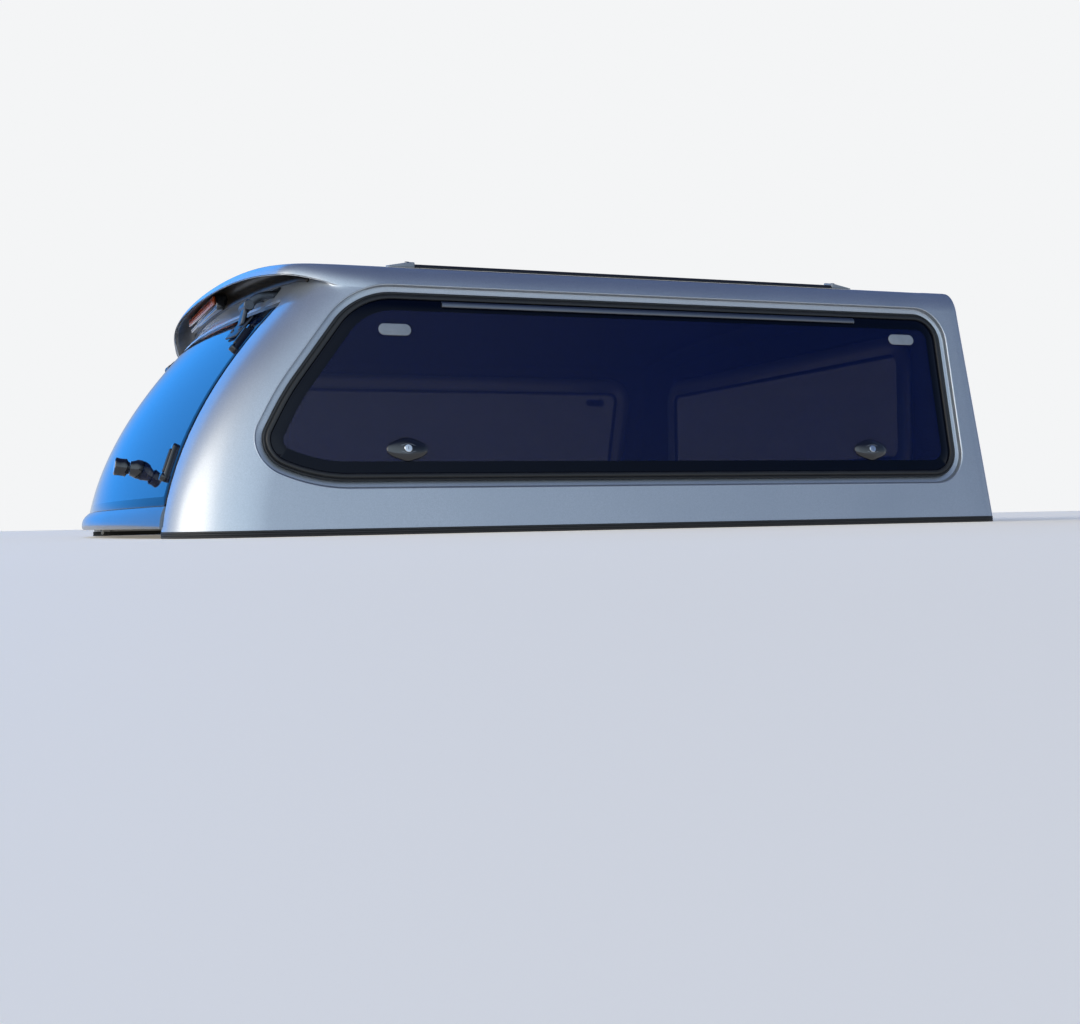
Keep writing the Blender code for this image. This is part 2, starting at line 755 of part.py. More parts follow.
def visor_cover(edge, below):
    """Rings that close a visor edge ring over to its middle, and the pole there."""
    middle_y = (edge[0][1] + edge[len(edge) // 2][1]) / 2
    rings = []
    for scale in VISOR_SCALES:
        ring = []
        for x, y, _ in edge:
            new_y = middle_y + (y - middle_y) * scale
            ring.append((x * scale, new_y, visor_top(x * scale, new_y) - below))
        rings.append(ring)
    return rings, (0.0, middle_y, visor_top(0.0, middle_y) - below)


def visor_hollow():
    """Cutter for the hollow under the visor, inside its rim."""
    edge = visor_ring(VISOR_RIM_WALL, 0.0, VISOR_SKIN)
    low = [(x, y, HOLLOW_FLOOR) for x, y, _ in edge]
    rings, crown = visor_cover(edge, VISOR_SKIN)
    return as_guide(loft("guide_hollow", [low, edge] + rings, crown))


def visor_sheet(above, below):
    """Sheet between two depths under the visor's skin, inside its rim."""
    inset = VISOR_RIM_WALL + FIT_GAP
    low = visor_ring(inset, 0.0, below)
    high = visor_ring(inset, 0.0, above)
    low_rings, low_pole = visor_cover(low, below)
    high_rings, high_pole = visor_cover(high, above)
    rings = list(reversed(low_rings)) + [low, high] + high_rings
    return as_guide(loft("guide_sheet", rings, high_pole, low_pole))


def build_shell():
    """The one-piece moulding: roof, sides, front wall, rear pillars and visor."""
    shell = visor_solid()
    combine(shell, visor_hollow(), "DIFFERENCE")
    combine(shell, hull(0.0), "UNION")
    combine(shell, hull(WALL, BASE_Z + BASE_FLANGE_THICKNESS), "DIFFERENCE")
    add_side_flanges(shell)
    add_front_flange(shell)
    add_door_flange(shell)
    tub = [(x, y) for x, y, _ in full_ring(
        [(x, y, 0.0) for x, y in half_outline(BASE_Z, BASE_FLANGE_WIDTH, BASE_FLANGE_WIDTH)])]
    flange_top = BASE_Z + BASE_FLANGE_THICKNESS
    combine(shell, prism(tub, "Z", -UNDERCUT, flange_top + WALL_BITE), "DIFFERENCE")
    named(shell, "shell", "paint")


def add_flange(shell, axis, low, high, outline_of, recess, width):
    """Sink a recess into the shell's wall round an opening, with a flange behind it."""
    inner = recess + WALL
    flange = prism(outline_of(-FLANGE_LAP), axis, low, high)
    combine(flange, hull(WALL - WALL_BITE, -UNDERCUT / 2), "INTERSECT")
    combine(flange, hull(inner, -UNDERCUT), "DIFFERENCE")
    combine(shell, flange, "UNION")
    cut = prism(outline_of(0.0), axis, low, high)
    combine(cut, hull(recess, -2 * UNDERCUT), "DIFFERENCE")
    combine(shell, cut, "DIFFERENCE")
    combine(shell, prism(outline_of(width), axis, low, high), "DIFFERENCE")


def add_side_flanges(shell):
    """Recess and opening of both side windows."""
    for side in (1, -1):
        low, high = span_beyond(side)
        add_flange(shell, "X", low, high, side_window_outline, WINDOW_RECESS, WINDOW_FLANGE)


def add_front_flange(shell):
    """Recess and opening of the window towards the cab."""
    low, high = span_beyond(1)
    add_flange(shell, "Y", low, high, front_window_outline, WINDOW_RECESS, WINDOW_FLANGE)


def add_door_flange(shell):
    """Rebate and opening of the rear door, open at the bottom."""
    inner = DOOR_RECESS + WALL
    low, high = span_beyond(-1)
    top = DOOR_TOP + DOOR_TOP_CLEARANCE - DOOR_CLEARANCE
    flange = prism(door_outline(-DOOR_CLEARANCE - FLANGE_LAP, BASE_Z, top), "Y", low, high)
    combine(flange, hull(WALL - WALL_BITE, BASE_Z), "INTERSECT")
    combine(flange, hull(inner, -UNDERCUT), "DIFFERENCE")
    combine(shell, flange, "UNION")
    cut = prism(door_outline(-DOOR_CLEARANCE, -UNDERCUT, top), "Y", low, high)
    combine(cut, hull(DOOR_RECESS, -2 * UNDERCUT), "DIFFERENCE")
    combine(shell, cut, "DIFFERENCE")
    opening = prism(door_outline(DOOR_FLANGE, -UNDERCUT), "Y", low, high)
    combine(shell, opening, "DIFFERENCE")


def build_base_seals():
    """Gasket strips between the shell and the tub rails."""
    for name, side in (("base_seal_left", -1), ("base_seal_right", 1), ("base_seal_front", 0)):
        outer = [(x, y) for x, y, _ in full_ring(
            [(x, y, 0.0) for x, y in half_outline(0.0, SEAL_SET_BACK, SEAL_SET_BACK)])]
        inner = [(x, y) for x, y, _ in full_ring(
            [(x, y, 0.0) for x, y in half_outline(0.0, SEAL_WIDTH, SEAL_WIDTH)])]
        strip = prism(outer, "Z", 0.0, SEAL_HEIGHT)
        combine(strip, prism(inner, "Z", -UNDERCUT, SEAL_HEIGHT + UNDERCUT), "DIFFERENCE")
        front = FRONT_Y - SEAL_WIDTH
        if side:
            near = DOOR_WIDTH / 2 + DOOR_CLEARANCE
            xs = sorted((side * near, side * WIDTH))
            ys = (-LENGTH, front - FIT_GAP)
        else:
            xs = (-WIDTH, WIDTH)
            ys = (front, LENGTH)
        window = prism([(xs[0], ys[0]), (xs[1], ys[0]), (xs[1], ys[1]), (xs[0], ys[1])],
                       "Z", -UNDERCUT, SEAL_HEIGHT + UNDERCUT)
        combine(strip, window, "INTERSECT")
        named(strip, name, "rubber")


def build_side_window(side, word):
    """Seal, glass, hinge rail, strut pads and locks of one side window."""
    seat = WINDOW_RECESS - FIT_GAP
    seal = skin_piece("window_seal_" + word, side_window_outline(WINDOW_SEAL_OUTER), "X",
                      WINDOW_RECESS - WINDOW_SEAL_PROUD, seat, side)
    seal_inner = WINDOW_SEAL_OUTER + WINDOW_SEAL_WIDTH
    hole = prism(side_window_outline(seal_inner), "X", *span_beyond(side))
    combine(seal, hole, "DIFFERENCE")
    paint(seal, "rubber")
    face = seat - GLASS_THICKNESS
    glass = skin_piece("window_glass_" + word, side_window_outline(seal_inner + FIT_GAP), "X",
                       face, seat, side)
    paint(glass, "tinted_glass")
    behind = face - FIT_GAP
    middle = WINDOW_TOP - HINGE_RAIL_DROP
    low, high = middle - HINGE_RAIL_HEIGHT / 2, middle + HINGE_RAIL_HEIGHT / 2
    back = WINDOW_BROW_Y + HINGE_RAIL_REAR_MARGIN
    front = WINDOW_FRONT_Y - HINGE_RAIL_FRONT_MARGIN
    strip = [(back, low), (front, low), (front, high), (back, high)]
    rail = skin_piece("window_hinge_" + word, strip, "X", behind - HINGE_RAIL_PROUD, behind, side)
    paint(rail, "aluminium")
    for place, centre in PAD_PLACES.items():
        half = PAD_LENGTH / 2 - PAD_HEIGHT / 2
        oval = capsule((centre[0] - half, centre[1]), (centre[0] + half, centre[1]), PAD_HEIGHT)
        pad = skin_piece("strut_pad_" + place + "_" + word, oval, "X",
                         behind - PAD_PROUD, behind, side)
        paint(pad, "grey_plastic")
    for place, centre in LOCK_PLACES.items():
        eye = ellipse(centre, LOCK_LENGTH, LOCK_HEIGHT)
        lock = skin_piece("window_lock_" + place + "_" + word, eye, "X",
                          behind - LOCK_PROUD, behind, side)
        paint(lock, "black_plastic")


def build_front_window():
    """Seal and glass of the window towards the cab."""
    seat = WINDOW_RECESS - FIT_GAP
    seal = skin_piece("front_window_seal", front_window_outline(WINDOW_SEAL_OUTER), "Y",
                      WINDOW_RECESS - WINDOW_SEAL_PROUD, seat)
    seal_inner = WINDOW_SEAL_OUTER + WINDOW_SEAL_WIDTH
    combine(seal, prism(front_window_outline(seal_inner), "Y", *span_beyond(1)), "DIFFERENCE")
    paint(seal, "rubber")
    glass = skin_piece("front_window_glass", front_window_outline(seal_inner + FIT_GAP), "Y",
                       seat - GLASS_THICKNESS, seat)
    paint(glass, "tinted_glass")


def build_door():
    """Rear glass, its lower garnish, covers and the doorway's seal."""
    glass = skin_piece("rear_glass", door_outline(0.0, GARNISH_TOP + FIT_GAP), "Y",
                       0.0, DOOR_GLASS, -1)
    paint(glass, "tinted_glass")
    build_garnish()
    seal = skin_piece("doorway_seal", door_outline(DOOR_SEAL_SET_BACK, GARNISH_BOTTOM), "Y",
                      DOOR_GLASS + DOOR_RUNNING_GAP, DOOR_RECESS - FIT_GAP, -1)
    inner = door_outline(DOOR_SEAL_SET_BACK + DOOR_SEAL_WIDTH, -UNDERCUT)
    combine(seal, prism(inner, "Y", *span_beyond(-1)), "DIFFERENCE")
    paint(seal, "rubber")
    for side, word in ((-1, "left"), (1, "right")):
        for name, ends in cover_places().items():
            bar = capsule(ends[0], ends[1], COVER_WIDTH)
            if side < 0:
                bar = flip_outline(bar)
            cover = skin_piece(name + word, bar, "Y", -COVER_PROUD, -FIT_GAP, -1)
            paint(cover, "black_plastic")


def cover_places():
    """Lower and upper end of the covers on the right side of the glass."""
    upper = []
    for inset, drop in zip(UPPER_COVER_INSETS, UPPER_COVER_DROPS):
        upper.append((door_half_width(DOOR_TOP - drop) - inset, DOOR_TOP - drop))
    lower = []
    for inset, height in zip(LOWER_COVER_INSETS, LOWER_COVER_HEIGHTS):
        lower.append((door_half_width(height) - inset, height))
    return {"upper_cover_": upper, "lower_cover_": lower}


def build_garnish():
    """Painted strip under the glass, which stands out most in the middle."""
    rings = []
    for step in range(GARNISH_STEPS + 1):
        share = 1.0 - 2.0 * step / GARNISH_STEPS
        proud = GARNISH_END_PROUD + (GARNISH_PROUD - GARNISH_END_PROUD) * (1.0 - share * share)
        profile = (
            (GARNISH_BOTTOM, -GARNISH_DEPTH),
            (GARNISH_BOTTOM, proud - GARNISH_TURN_IN),
            (GARNISH_NOSE, proud),
            (GARNISH_TOP, GARNISH_TOP_STEP),
            (GARNISH_TOP, -GARNISH_DEPTH),
        )
        ring = []
        for z, outwards in profile:
            x = share * door_half_width(z)
            ring.append((x, rear_y(x, z) - outwards, z))
        rings.append(ring)
    named(loft("garnish", rings, mean_point(rings[-1]), mean_point(rings[0])),
          "door_garnish", "paint")


def mean_point(points):
    """Mean of some points."""
    total = Vector((0.0, 0.0, 0.0))
    for point in points:
        total += Vector(point)
    return tuple(total / len(points))


def cylinder(radius, start, end, sides=ROUND_SIDES):
    """Solid cylinder between two points."""
    a, b = Vector(start), Vector(end)
    bm = bmesh.new()
    turn = (b - a).to_track_quat("Z", "Y").to_matrix().to_4x4()
    place = Matrix.Translation((a + b) / 2) @ turn
    bmesh.ops.create_cone(bm, cap_ends=True, segments=sides, radius1=radius, radius2=radius,
                          depth=(b - a).length, matrix=place)
    return as_guide(finish_mesh("guide_cylinder", bm))


def build_hinges():
    """Brackets on the shell and arms on the door, on one pin line."""
    for side, word in ((-1, "left"), (1, "right")):
        middle = side * HINGE_X
        half = HINGE_ARM_WIDTH / 2
        build_hinge_arm(middle, half, word)
        build_hinge_bracket(middle, half, word)


def build_hinge_arm(middle, half, word):
    """Arm that hangs from the pin and clamps the top of the glass."""
    arm = cylinder(HINGE_BARREL_RADIUS, (middle - half, HINGE_Y, HINGE_Z),
                   (middle + half, HINGE_Y, HINGE_Z))
    radius = HINGE_BARREL_RADIUS
    pad_top = DOOR_TOP - HINGE_PAD_DROP
    high = pad_top - HINGE_WEB_THICKNESS
    low = high - HINGE_WEB_THICKNESS
    web = [(HINGE_Y - radius * 0.9, HINGE_Z), (HINGE_Y - radius * 0.4, low),
           (HINGE_Y + HINGE_WEB_LENGTH, low), (HINGE_Y + HINGE_WEB_LENGTH, high),
           (HINGE_Y + radius * 0.6, HINGE_Z - radius * 0.8)]
    combine(arm, prism(web, "X", middle - half, middle + half), "UNION")
    side = half + HINGE_PAD_MARGIN
    pad_bottom = pad_top - HINGE_PAD_HEIGHT
    pad = prism([(middle - side, pad_bottom), (middle + side, pad_bottom),
                 (middle + side, pad_top), (middle - side, pad_top)], "Y", *span_beyond(-1))
    combine(pad, hull(-HINGE_PLATE, -UNDERCUT), "INTERSECT")
    combine(arm, pad, "UNION")
    combine(arm, hull(-FIT_GAP, -2 * UNDERCUT), "DIFFERENCE")
    bore = cylinder(HINGE_PIN_RADIUS + HINGE_BORE_GAP, (middle - side, HINGE_Y, HINGE_Z),
                    (middle + side, HINGE_Y, HINGE_Z))
    combine(arm, bore, "DIFFERENCE")
    named(arm, "hinge_arm_" + word, "hinge_steel")


def build_hinge_bracket(middle, half, word):
    """Two ears with the pin, on a foot that stands on the header over the door."""
    inner = half + HINGE_SIDE_GAP
    outer = inner + HINGE_EAR_WIDTH
    bracket = cylinder(HINGE_PIN_RADIUS, (middle - outer, HINGE_Y, HINGE_Z),
                       (middle + outer, HINGE_Y, HINGE_Z))
    radius = HINGE_BARREL_RADIUS
    reach = HINGE_Y + HINGE_FOOT_LENGTH
    top = HINGE_Z + HINGE_FOOT_RISE
    ear = [(HINGE_Y - radius, HINGE_Z - radius * 0.5), (HINGE_Y + radius, HINGE_Z - radius * 0.5),
           (reach, HINGE_Z + radius * 0.8), (reach, top),
           (HINGE_Y + radius * 2.0, HINGE_Z + radius * 2.0), (HINGE_Y - radius, HINGE_Z + radius)]
    for low, high in ((middle - outer, middle - inner), (middle + inner, middle + outer)):
        combine(bracket, prism(ear, "X", low, high), "UNION")
    under = top - HINGE_FOOT_THICKNESS
    foot = [(HINGE_Y + radius * 2.2, under), (reach, under),
            (reach, top), (HINGE_Y + radius * 2.2, HINGE_Z + radius * 2.05)]
    combine(bracket, prism(foot, "X", middle - outer + WALL_BITE, middle + outer - WALL_BITE),
            "UNION")
    combine(bracket, hull(-HINGE_SEAT_GAP, -2 * UNDERCUT), "DIFFERENCE")
    named(bracket, "hinge_bracket_" + word, "hinge_steel")


def handle_axis():
    """Point on the glass and outward direction of the handle's turning axis."""
    foot = Vector((HANDLE_X, rear_y(HANDLE_X, HANDLE_Z), HANDLE_Z))
    outward = Vector((0.0, -cos(HANDLE_TILT), sin(HANDLE_TILT)))
    return foot, outward


def build_handle():
    """Round base on the glass and the oval knob that turns on it."""
    foot, outward = handle_axis()
    end = foot + outward * HANDLE_BASE_LENGTH
    base = cylinder(HANDLE_BASE_RADIUS, foot - outward * UNDERCUT, end)
    combine(base, hull(-FIT_GAP, -2 * UNDERCUT), "DIFFERENCE")
    named(base, "handle_base", "black_plastic")
    start = end + outward * FIT_GAP
    back = start + outward * HANDLE_NECK_LENGTH
    knob = cylinder(HANDLE_NECK_RADIUS, start, back + outward * HANDLE_KNOB_LENGTH / 2)
    rise = (HANDLE_KNOB_HEIGHT - HANDLE_KNOB_WIDTH) / 2
    oval = capsule((0.0, -rise), (0.0, rise), HANDLE_KNOB_WIDTH)
    block = prism(oval, "Y", -HANDLE_KNOB_LENGTH, 0.0)
    block.data.transform(Matrix.Translation(back) @ Matrix.Rotation(-HANDLE_TILT, 4, "X"))
    combine(knob, block, "UNION")
    named(knob, "door_handle", "black_plastic")


def box(centre, size):
    """Solid box."""
    bm = bmesh.new()
    bmesh.ops.create_cube(bm, size=1.0, matrix=Matrix.Translation(centre)
                          @ Matrix.Diagonal((*size, 1.0)))
    return as_guide(finish_mesh("guide_box", bm))


def build_visor_fittings():
    """Black lining under the visor, and the brake light below it."""
    lined = VISOR_SKIN + FIT_GAP + LINER_THICKNESS
    liner = visor_sheet(VISOR_SKIN + FIT_GAP, lined)
    front = VISOR_Y + LINER_LENGTH
    behind = [(-WIDTH, -LENGTH), (WIDTH, -LENGTH), (WIDTH, front), (-WIDTH, front)]
    combine(liner, prism(behind, "Z", 0.0, FAR), "INTERSECT")
    combine(liner, hull(-FIT_GAP, -2 * UNDERCUT), "DIFFERENCE")
    named(liner, "visor_liner", "black_plastic")
    light_top = visor_top(LIGHT_WIDTH / 2, LIGHT_Y) - lined
    light_low = light_top - LIGHT_HEIGHT
    buried = visor_top(0.0, LIGHT_Y)
    housing = box((0.0, LIGHT_Y, (light_low + buried) / 2),
                  (LIGHT_WIDTH, LIGHT_DEPTH, buried - light_low))
    combine(housing, visor_sheet(-VISOR_SKIN, lined + FIT_GAP), "DIFFERENCE")
    combine(housing, hull(-FIT_GAP, -2 * UNDERCUT), "DIFFERENCE")
    named(housing, "brake_light_housing", "black_plastic")
    lens_y = LIGHT_Y - LIGHT_DEPTH / 2 - FIT_GAP - LENS_THICKNESS / 2
    lens = box((0.0, lens_y, light_top - LENS_DROP - LENS_HEIGHT / 2),
               (LIGHT_WIDTH - LENS_END_MARGIN, LENS_THICKNESS, LENS_HEIGHT))
    combine(lens, visor_sheet(-VISOR_SKIN, lined + FIT_GAP), "DIFFERENCE")
    named(lens, "brake_light_lens", "lens")


def build_tracks():
    """Low tracks on both sides of the roof, with an end cap at each end."""
    slope = roof_slope(TRACK_X)
    seat = roof_z(TRACK_X) + FIT_GAP
    rear_end = REAR_EDGE_Y + TRACK_REAR_MARGIN
    front_end = FRONT_Y - TRACK_FRONT_MARGIN
    rear = rear_end + TRACK_CAP_LENGTH
    front = front_end - TRACK_CAP_LENGTH
    half = TRACK_WIDTH / 2
    slot = TRACK_GROOVE_WIDTH / 2
    tall = TRACK_HEIGHT + TRACK_CAP_RISE
    for side, word in ((-1, "left"), (1, "right")):
        turn = Matrix.Rotation(side * slope, 4, "Y")
        place = Matrix.Translation((side * TRACK_X, 0.0, seat)) @ turn
        body = prism([(-half, rear + FIT_GAP), (half, rear + FIT_GAP),
                      (half, front - FIT_GAP), (-half, front - FIT_GAP)], "Z", 0.0, TRACK_HEIGHT)
        groove = prism([(-slot, rear_end), (slot, rear_end), (slot, front_end),
                        (-slot, front_end)], "Z", TRACK_HEIGHT - TRACK_GROOVE_DEPTH, tall)
        combine(body, groove, "DIFFERENCE")
        body.data.transform(place)
        named(body, "roof_track_" + word, "black_plastic")
        for end_word, inner, outer in (("rear", rear, rear_end), ("front", front, front_end)):
            profile = [(inner, 0.0), (inner, tall), (inner + (outer - inner) * TRACK_CAP_FLAT, tall),
                       (outer, TRACK_CAP_TOE), (outer, 0.0)]
            cap = prism(profile, "X", -half - TRACK_CAP_OVERLAP, half + TRACK_CAP_OVERLAP)
            cap.data.transform(place)
            named(cap, "track_cap_" + end_word + "_" + word, "grey_plastic")


def main():
    """Build every piece of the canopy."""
    clear_scene()
    build_shell()
    build_base_seals()
    build_side_window(1, "right")
    build_side_window(-1, "left")
    build_front_window()
    build_door()
    build_hinges()
    build_handle()
    build_visor_fittings()
    build_tracks()


main()
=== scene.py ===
"""Dressed model of a moulded pickup canopy: painted shell with its visor, tinted windows, lift-up
rear glass, brake light, hinges and roof tracks.

Metres, +Y towards the cab, +X to the right side of the vehicle, +Z up.
"""
import logging
import math
from dataclasses import dataclass, field
from enum import Enum
from typing import Callable, Optional, Sequence

import bmesh
import bpy
from mathutils import Matrix, Vector

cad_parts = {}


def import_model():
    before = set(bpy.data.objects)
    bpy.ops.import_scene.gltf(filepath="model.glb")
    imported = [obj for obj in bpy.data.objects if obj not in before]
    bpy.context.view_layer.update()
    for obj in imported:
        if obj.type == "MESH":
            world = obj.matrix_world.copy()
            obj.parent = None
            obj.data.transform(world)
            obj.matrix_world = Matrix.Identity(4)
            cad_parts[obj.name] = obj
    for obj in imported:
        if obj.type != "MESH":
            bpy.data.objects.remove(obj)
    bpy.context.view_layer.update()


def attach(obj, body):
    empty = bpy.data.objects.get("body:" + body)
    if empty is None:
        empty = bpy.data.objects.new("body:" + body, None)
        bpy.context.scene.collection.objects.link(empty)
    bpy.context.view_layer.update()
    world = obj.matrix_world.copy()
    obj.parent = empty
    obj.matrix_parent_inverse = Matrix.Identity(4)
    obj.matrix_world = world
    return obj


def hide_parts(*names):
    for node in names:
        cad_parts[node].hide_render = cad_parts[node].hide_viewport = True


LOG = logging.getLogger("canopy")
MM = 0.001
Place = Callable[[int, int], Vector]
Pair = tuple[float, float]
Triple = tuple[float, float, float]
SIDES = ((1, "right"), (-1, "left"))


class Face(Enum):
    """Side of the canopy that an outline is drawn on."""

    RIGHT = "right"
    LEFT = "left"
    FRONT = "front"
    REAR = "rear"


class Body(Enum):
    """Moving body that a piece rides on."""

    CANOPY = "canopy"
    DOOR = "rear_door"
    HANDLE = "handle"


# Materials


def linear(code: str) -> tuple[float, float, float, float]:
    """Turn an sRGB hex colour to linear.

    Args:
        code: Six hex digits.

    Returns:
        Linear red, green, blue and an alpha of 1.
    """
    values = [int(code[index:index + 2], 16) / 255 for index in (0, 2, 4)]
    curve = [v / 12.92 if v <= 0.04045 else ((v + 0.055) / 1.055) ** 2.4 for v in values]
    return (curve[0], curve[1], curve[2], 1.0)


def add_node(tree: bpy.types.NodeTree, kind: str, inputs: Optional[dict] = None,
             **settings: object) -> bpy.types.Node:
    """Add one node with its settings, values and links.

    Args:
        tree: Node tree that gets the node.
        kind: Blender's node type.
        inputs: Value, or output socket to link from, for each input by name or number.
        settings: Attributes of the node.

    Returns:
        The new node.
    """
    node = tree.nodes.new(kind)
    for name, value in settings.items():
        setattr(node, name, value)
    for key, value in (inputs or {}).items():
        if isinstance(value, bpy.types.NodeSocket):
            tree.links.new(value, node.inputs[key])
        else:
            node.inputs[key].default_value = value
    return node


@dataclass(frozen=True)
class Finish:
    """A surface finish with its grain and its soft unevenness.

    The grain is a bump, and the cloud is a slow change of colour and roughness over the surface.
    """

    name: str
    slot: str
    colour: str
    cloud_colour: str
    roughness: float
    roughness_swing: float = 0.05
    metallic: float = 0.0
    coat: float = 0.0
    coat_roughness: float = 0.03
    ior: float = 1.5
    alpha: float = 1.0
    grain_mm: float = 1.0
    grain_depth_mm: float = 0.02
    cloud_mm: float = 60.0
    stretch: Triple = (1.0, 1.0, 1.0)
    flake_mm: float = 0.0
    glow: float = 0.0

    def material(self) -> bpy.types.Material:
        """Make the material once and give it to every piece that wears it."""
        made = bpy.data.materials.get(self.name)
        if made:
            return made
        made = bpy.data.materials.new(self.name)
        made.use_nodes = True
        tree = made.node_tree
        tree.nodes.clear()
        place = add_node(tree, "ShaderNodeTexCoord").outputs["Object"]
        stretched = add_node(tree, "ShaderNodeMapping", {"Vector": place, "Scale": self.stretch})
        vector = stretched.outputs["Vector"]
        cloud = add_node(tree, "ShaderNodeTexNoise", {
            "Vector": vector, "Scale": 1.0 / (self.cloud_mm * MM), "Detail": 3.0})
        grain = add_node(tree, "ShaderNodeTexNoise", {
            "Vector": vector, "Scale": 1.0 / (self.grain_mm * MM), "Detail": 2.0})
        blend = cloud.outputs["Fac"]
        if self.flake_mm:
            flakes = add_node(tree, "ShaderNodeTexVoronoi", {
                "Vector": place, "Scale": 1.0 / (self.flake_mm * MM)})
            sparkle = add_node(tree, "ShaderNodeSeparateColor", {
                "Color": flakes.outputs["Color"]})
            blend = add_node(tree, "ShaderNodeMath", {
                0: cloud.outputs["Fac"], 1: sparkle.outputs["Red"]},
                operation="MULTIPLY").outputs["Value"]
        colour = add_node(tree, "ShaderNodeMix", {
            "Factor": blend, 6: linear(self.colour), 7: linear(self.cloud_colour)},
            data_type="RGBA")
        rough = add_node(tree, "ShaderNodeMapRange", {
            "Value": cloud.outputs["Fac"],
            "To Min": max(0.0, self.roughness - self.roughness_swing),
            "To Max": self.roughness + self.roughness_swing})
        bump = add_node(tree, "ShaderNodeBump", {
            "Height": grain.outputs["Fac"], "Strength": 0.5,
            "Distance": self.grain_depth_mm * MM})
        shader = add_node(tree, "ShaderNodeBsdfPrincipled", {
            "Base Color": colour.outputs[2], "Roughness": rough.outputs["Result"],
            "Normal": bump.outputs["Normal"], "Metallic": self.metallic,
            "Coat Weight": self.coat, "Coat Roughness": self.coat_roughness,
            "Alpha": self.alpha})
        if not self.metallic:
            shader.inputs["IOR"].default_value = self.ior
        if self.glow:
            shader.inputs["Emission Color"].default_value = linear(self.colour)
            shader.inputs["Emission Strength"].default_value = self.glow
        add_node(tree, "ShaderNodeOutputMaterial", {"Surface": shader.outputs["BSDF"]})
        return made


# Sprayed metallic base coat under clear coat: the eye sees fine aluminium flakes, a soft wide
# highlight and a sharp gloss over it. The flakes of 0.1 mm are drawn at 1.4 mm, so that they show.
PAINT = Finish("metallic_base_coat_under_clear_coat", "paint", "a6abb1", "b9bec4", 0.44,
               metallic=0.85, coat=1.0, coat_roughness=0.025, grain_mm=2.6,
               grain_depth_mm=0.003, cloud_mm=240.0, flake_mm=1.4)
# The same base coat drawn a shade darker on the pressed strip under the rear glass: painted shade
# for the darker reflections that the strip catches.
STRIP_PAINT_WITH_PAINTED_SHADE = Finish("metallic_base_coat_with_painted_shade", "paint", "5d646c", "6d747c", 0.36,
                     metallic=0.85, coat=0.5, coat_roughness=0.03, grain_mm=2.6,
                     grain_depth_mm=0.003, cloud_mm=160.0, flake_mm=1.4)
# Float glass with a dark blue privacy tint: black in the shade, with a mirror gloss.
PRIVACY_GLASS = Finish("float_glass_with_privacy_tint", "tinted_glass", "020b2e", "030f3c",
                       0.018, roughness_swing=0.006, alpha=0.67, ior=1.33, grain_mm=120.0,
                       grain_depth_mm=0.01, cloud_mm=400.0)
# Curved toughened glass, which wavers a little as tempering leaves it.
REAR_GLASS = Finish("toughened_glass_with_privacy_tint", "tinted_glass", "050b20", "081230",
                    0.03, roughness_swing=0.01, alpha=0.93, ior=2.40, grain_mm=260.0,
                    grain_depth_mm=0.03, cloud_mm=400.0)
# Fired ceramic frit at the edge of a pane: dense satin black.
FRIT = Finish("fired_ceramic_frit", "tinted_glass", "01040f", "020614", 0.05,
              roughness_swing=0.02, ior=1.25, grain_mm=0.8, grain_depth_mm=0.003)
# Extruded EPDM rubber: matt black with a dusty bloom and a fine pebble.
GASKET = Finish("extruded_epdm_rubber", "rubber", "0b0b0c", "1b1b1c", 0.55,
                roughness_swing=0.12, grain_mm=0.9, grain_depth_mm=0.05, cloud_mm=35.0)
# Moulded glass-filled nylon: satin black with a spark-eroded grain.
BLACK_NYLON = Finish("moulded_black_nylon", "black_plastic", "0e0e10", "19191b", 0.36,
                     roughness_swing=0.08, grain_mm=0.7, grain_depth_mm=0.03, cloud_mm=25.0)
# Polished ABS, as on a handle: deep gloss black.
GLOSS_BLACK = Finish("polished_black_abs", "black_plastic", "09090b", "101014", 0.12,
                     roughness_swing=0.04, coat=0.6, grain_mm=6.0, grain_depth_mm=0.01)
# Dark brown-black gloss sheet on the underside of the visor: painted shade and painted reflection
# of the ground under it, glossier in patches.
VISOR_PAINTED_SHADE = Finish("painted_shade_under_visor", "black_plastic", "120e0a", "211a12", 0.36,
                roughness_swing=0.10, ior=1.3, grain_mm=9.0, grain_depth_mm=0.02)
# Flow-coated inside of the moulding: matt charcoal with a faint orange peel; the charcoal is partly
# its own coat and partly painted shade of the closed interior.
INSIDE_WITH_PAINTED_SHADE = Finish("charcoal_coat_with_painted_shade", "paint", "17181b", "222428", 0.60,
                roughness_swing=0.08, grain_mm=4.0, grain_depth_mm=0.06, cloud_mm=90.0)
# Anodised aluminium extrusion: drawn along its length, with a dull silver sheen.
ANODISED = Finish("anodised_aluminium", "aluminium", "5c6068", "747981", 0.34, metallic=1.0,
                  grain_mm=0.9, grain_depth_mm=0.02, stretch=(1.0, 0.05, 1.0))
# Grey moulded acetal, as on bonded strut pads and track ends.
GREY_ACETAL = Finish("moulded_grey_acetal", "grey_plastic", "6f747b", "858a90", 0.42,
                     grain_mm=0.9, grain_depth_mm=0.03, cloud_mm=18.0)
# Zinc plated steel drawn dark grey, as painted shade for the hinges under the visor, with a faint
# mottle.
DARK_ZINC_WITH_PAINTED_SHADE = Finish("zinc_plated_steel_with_painted_shade", "hinge_steel", "3e4248", "565a60", 0.40, metallic=1.0,
                    grain_mm=1.2, grain_depth_mm=0.02, cloud_mm=9.0)
# Chromed brass key barrel: mirror bright.
CHROME = Finish("chromed_brass", "aluminium", "c9ccd0", "dde0e3", 0.08, metallic=1.0,
                roughness_swing=0.03, grain_mm=0.8, grain_depth_mm=0.004)
# Moulded red acrylic with a clear face over its lamps.
RED_ACRYLIC = Finish("moulded_red_acrylic", "lens", "a8321c", "c25a28", 0.10,
                     roughness_swing=0.04, coat=0.8, grain_mm=5.0, grain_depth_mm=0.05)


# Mesh work


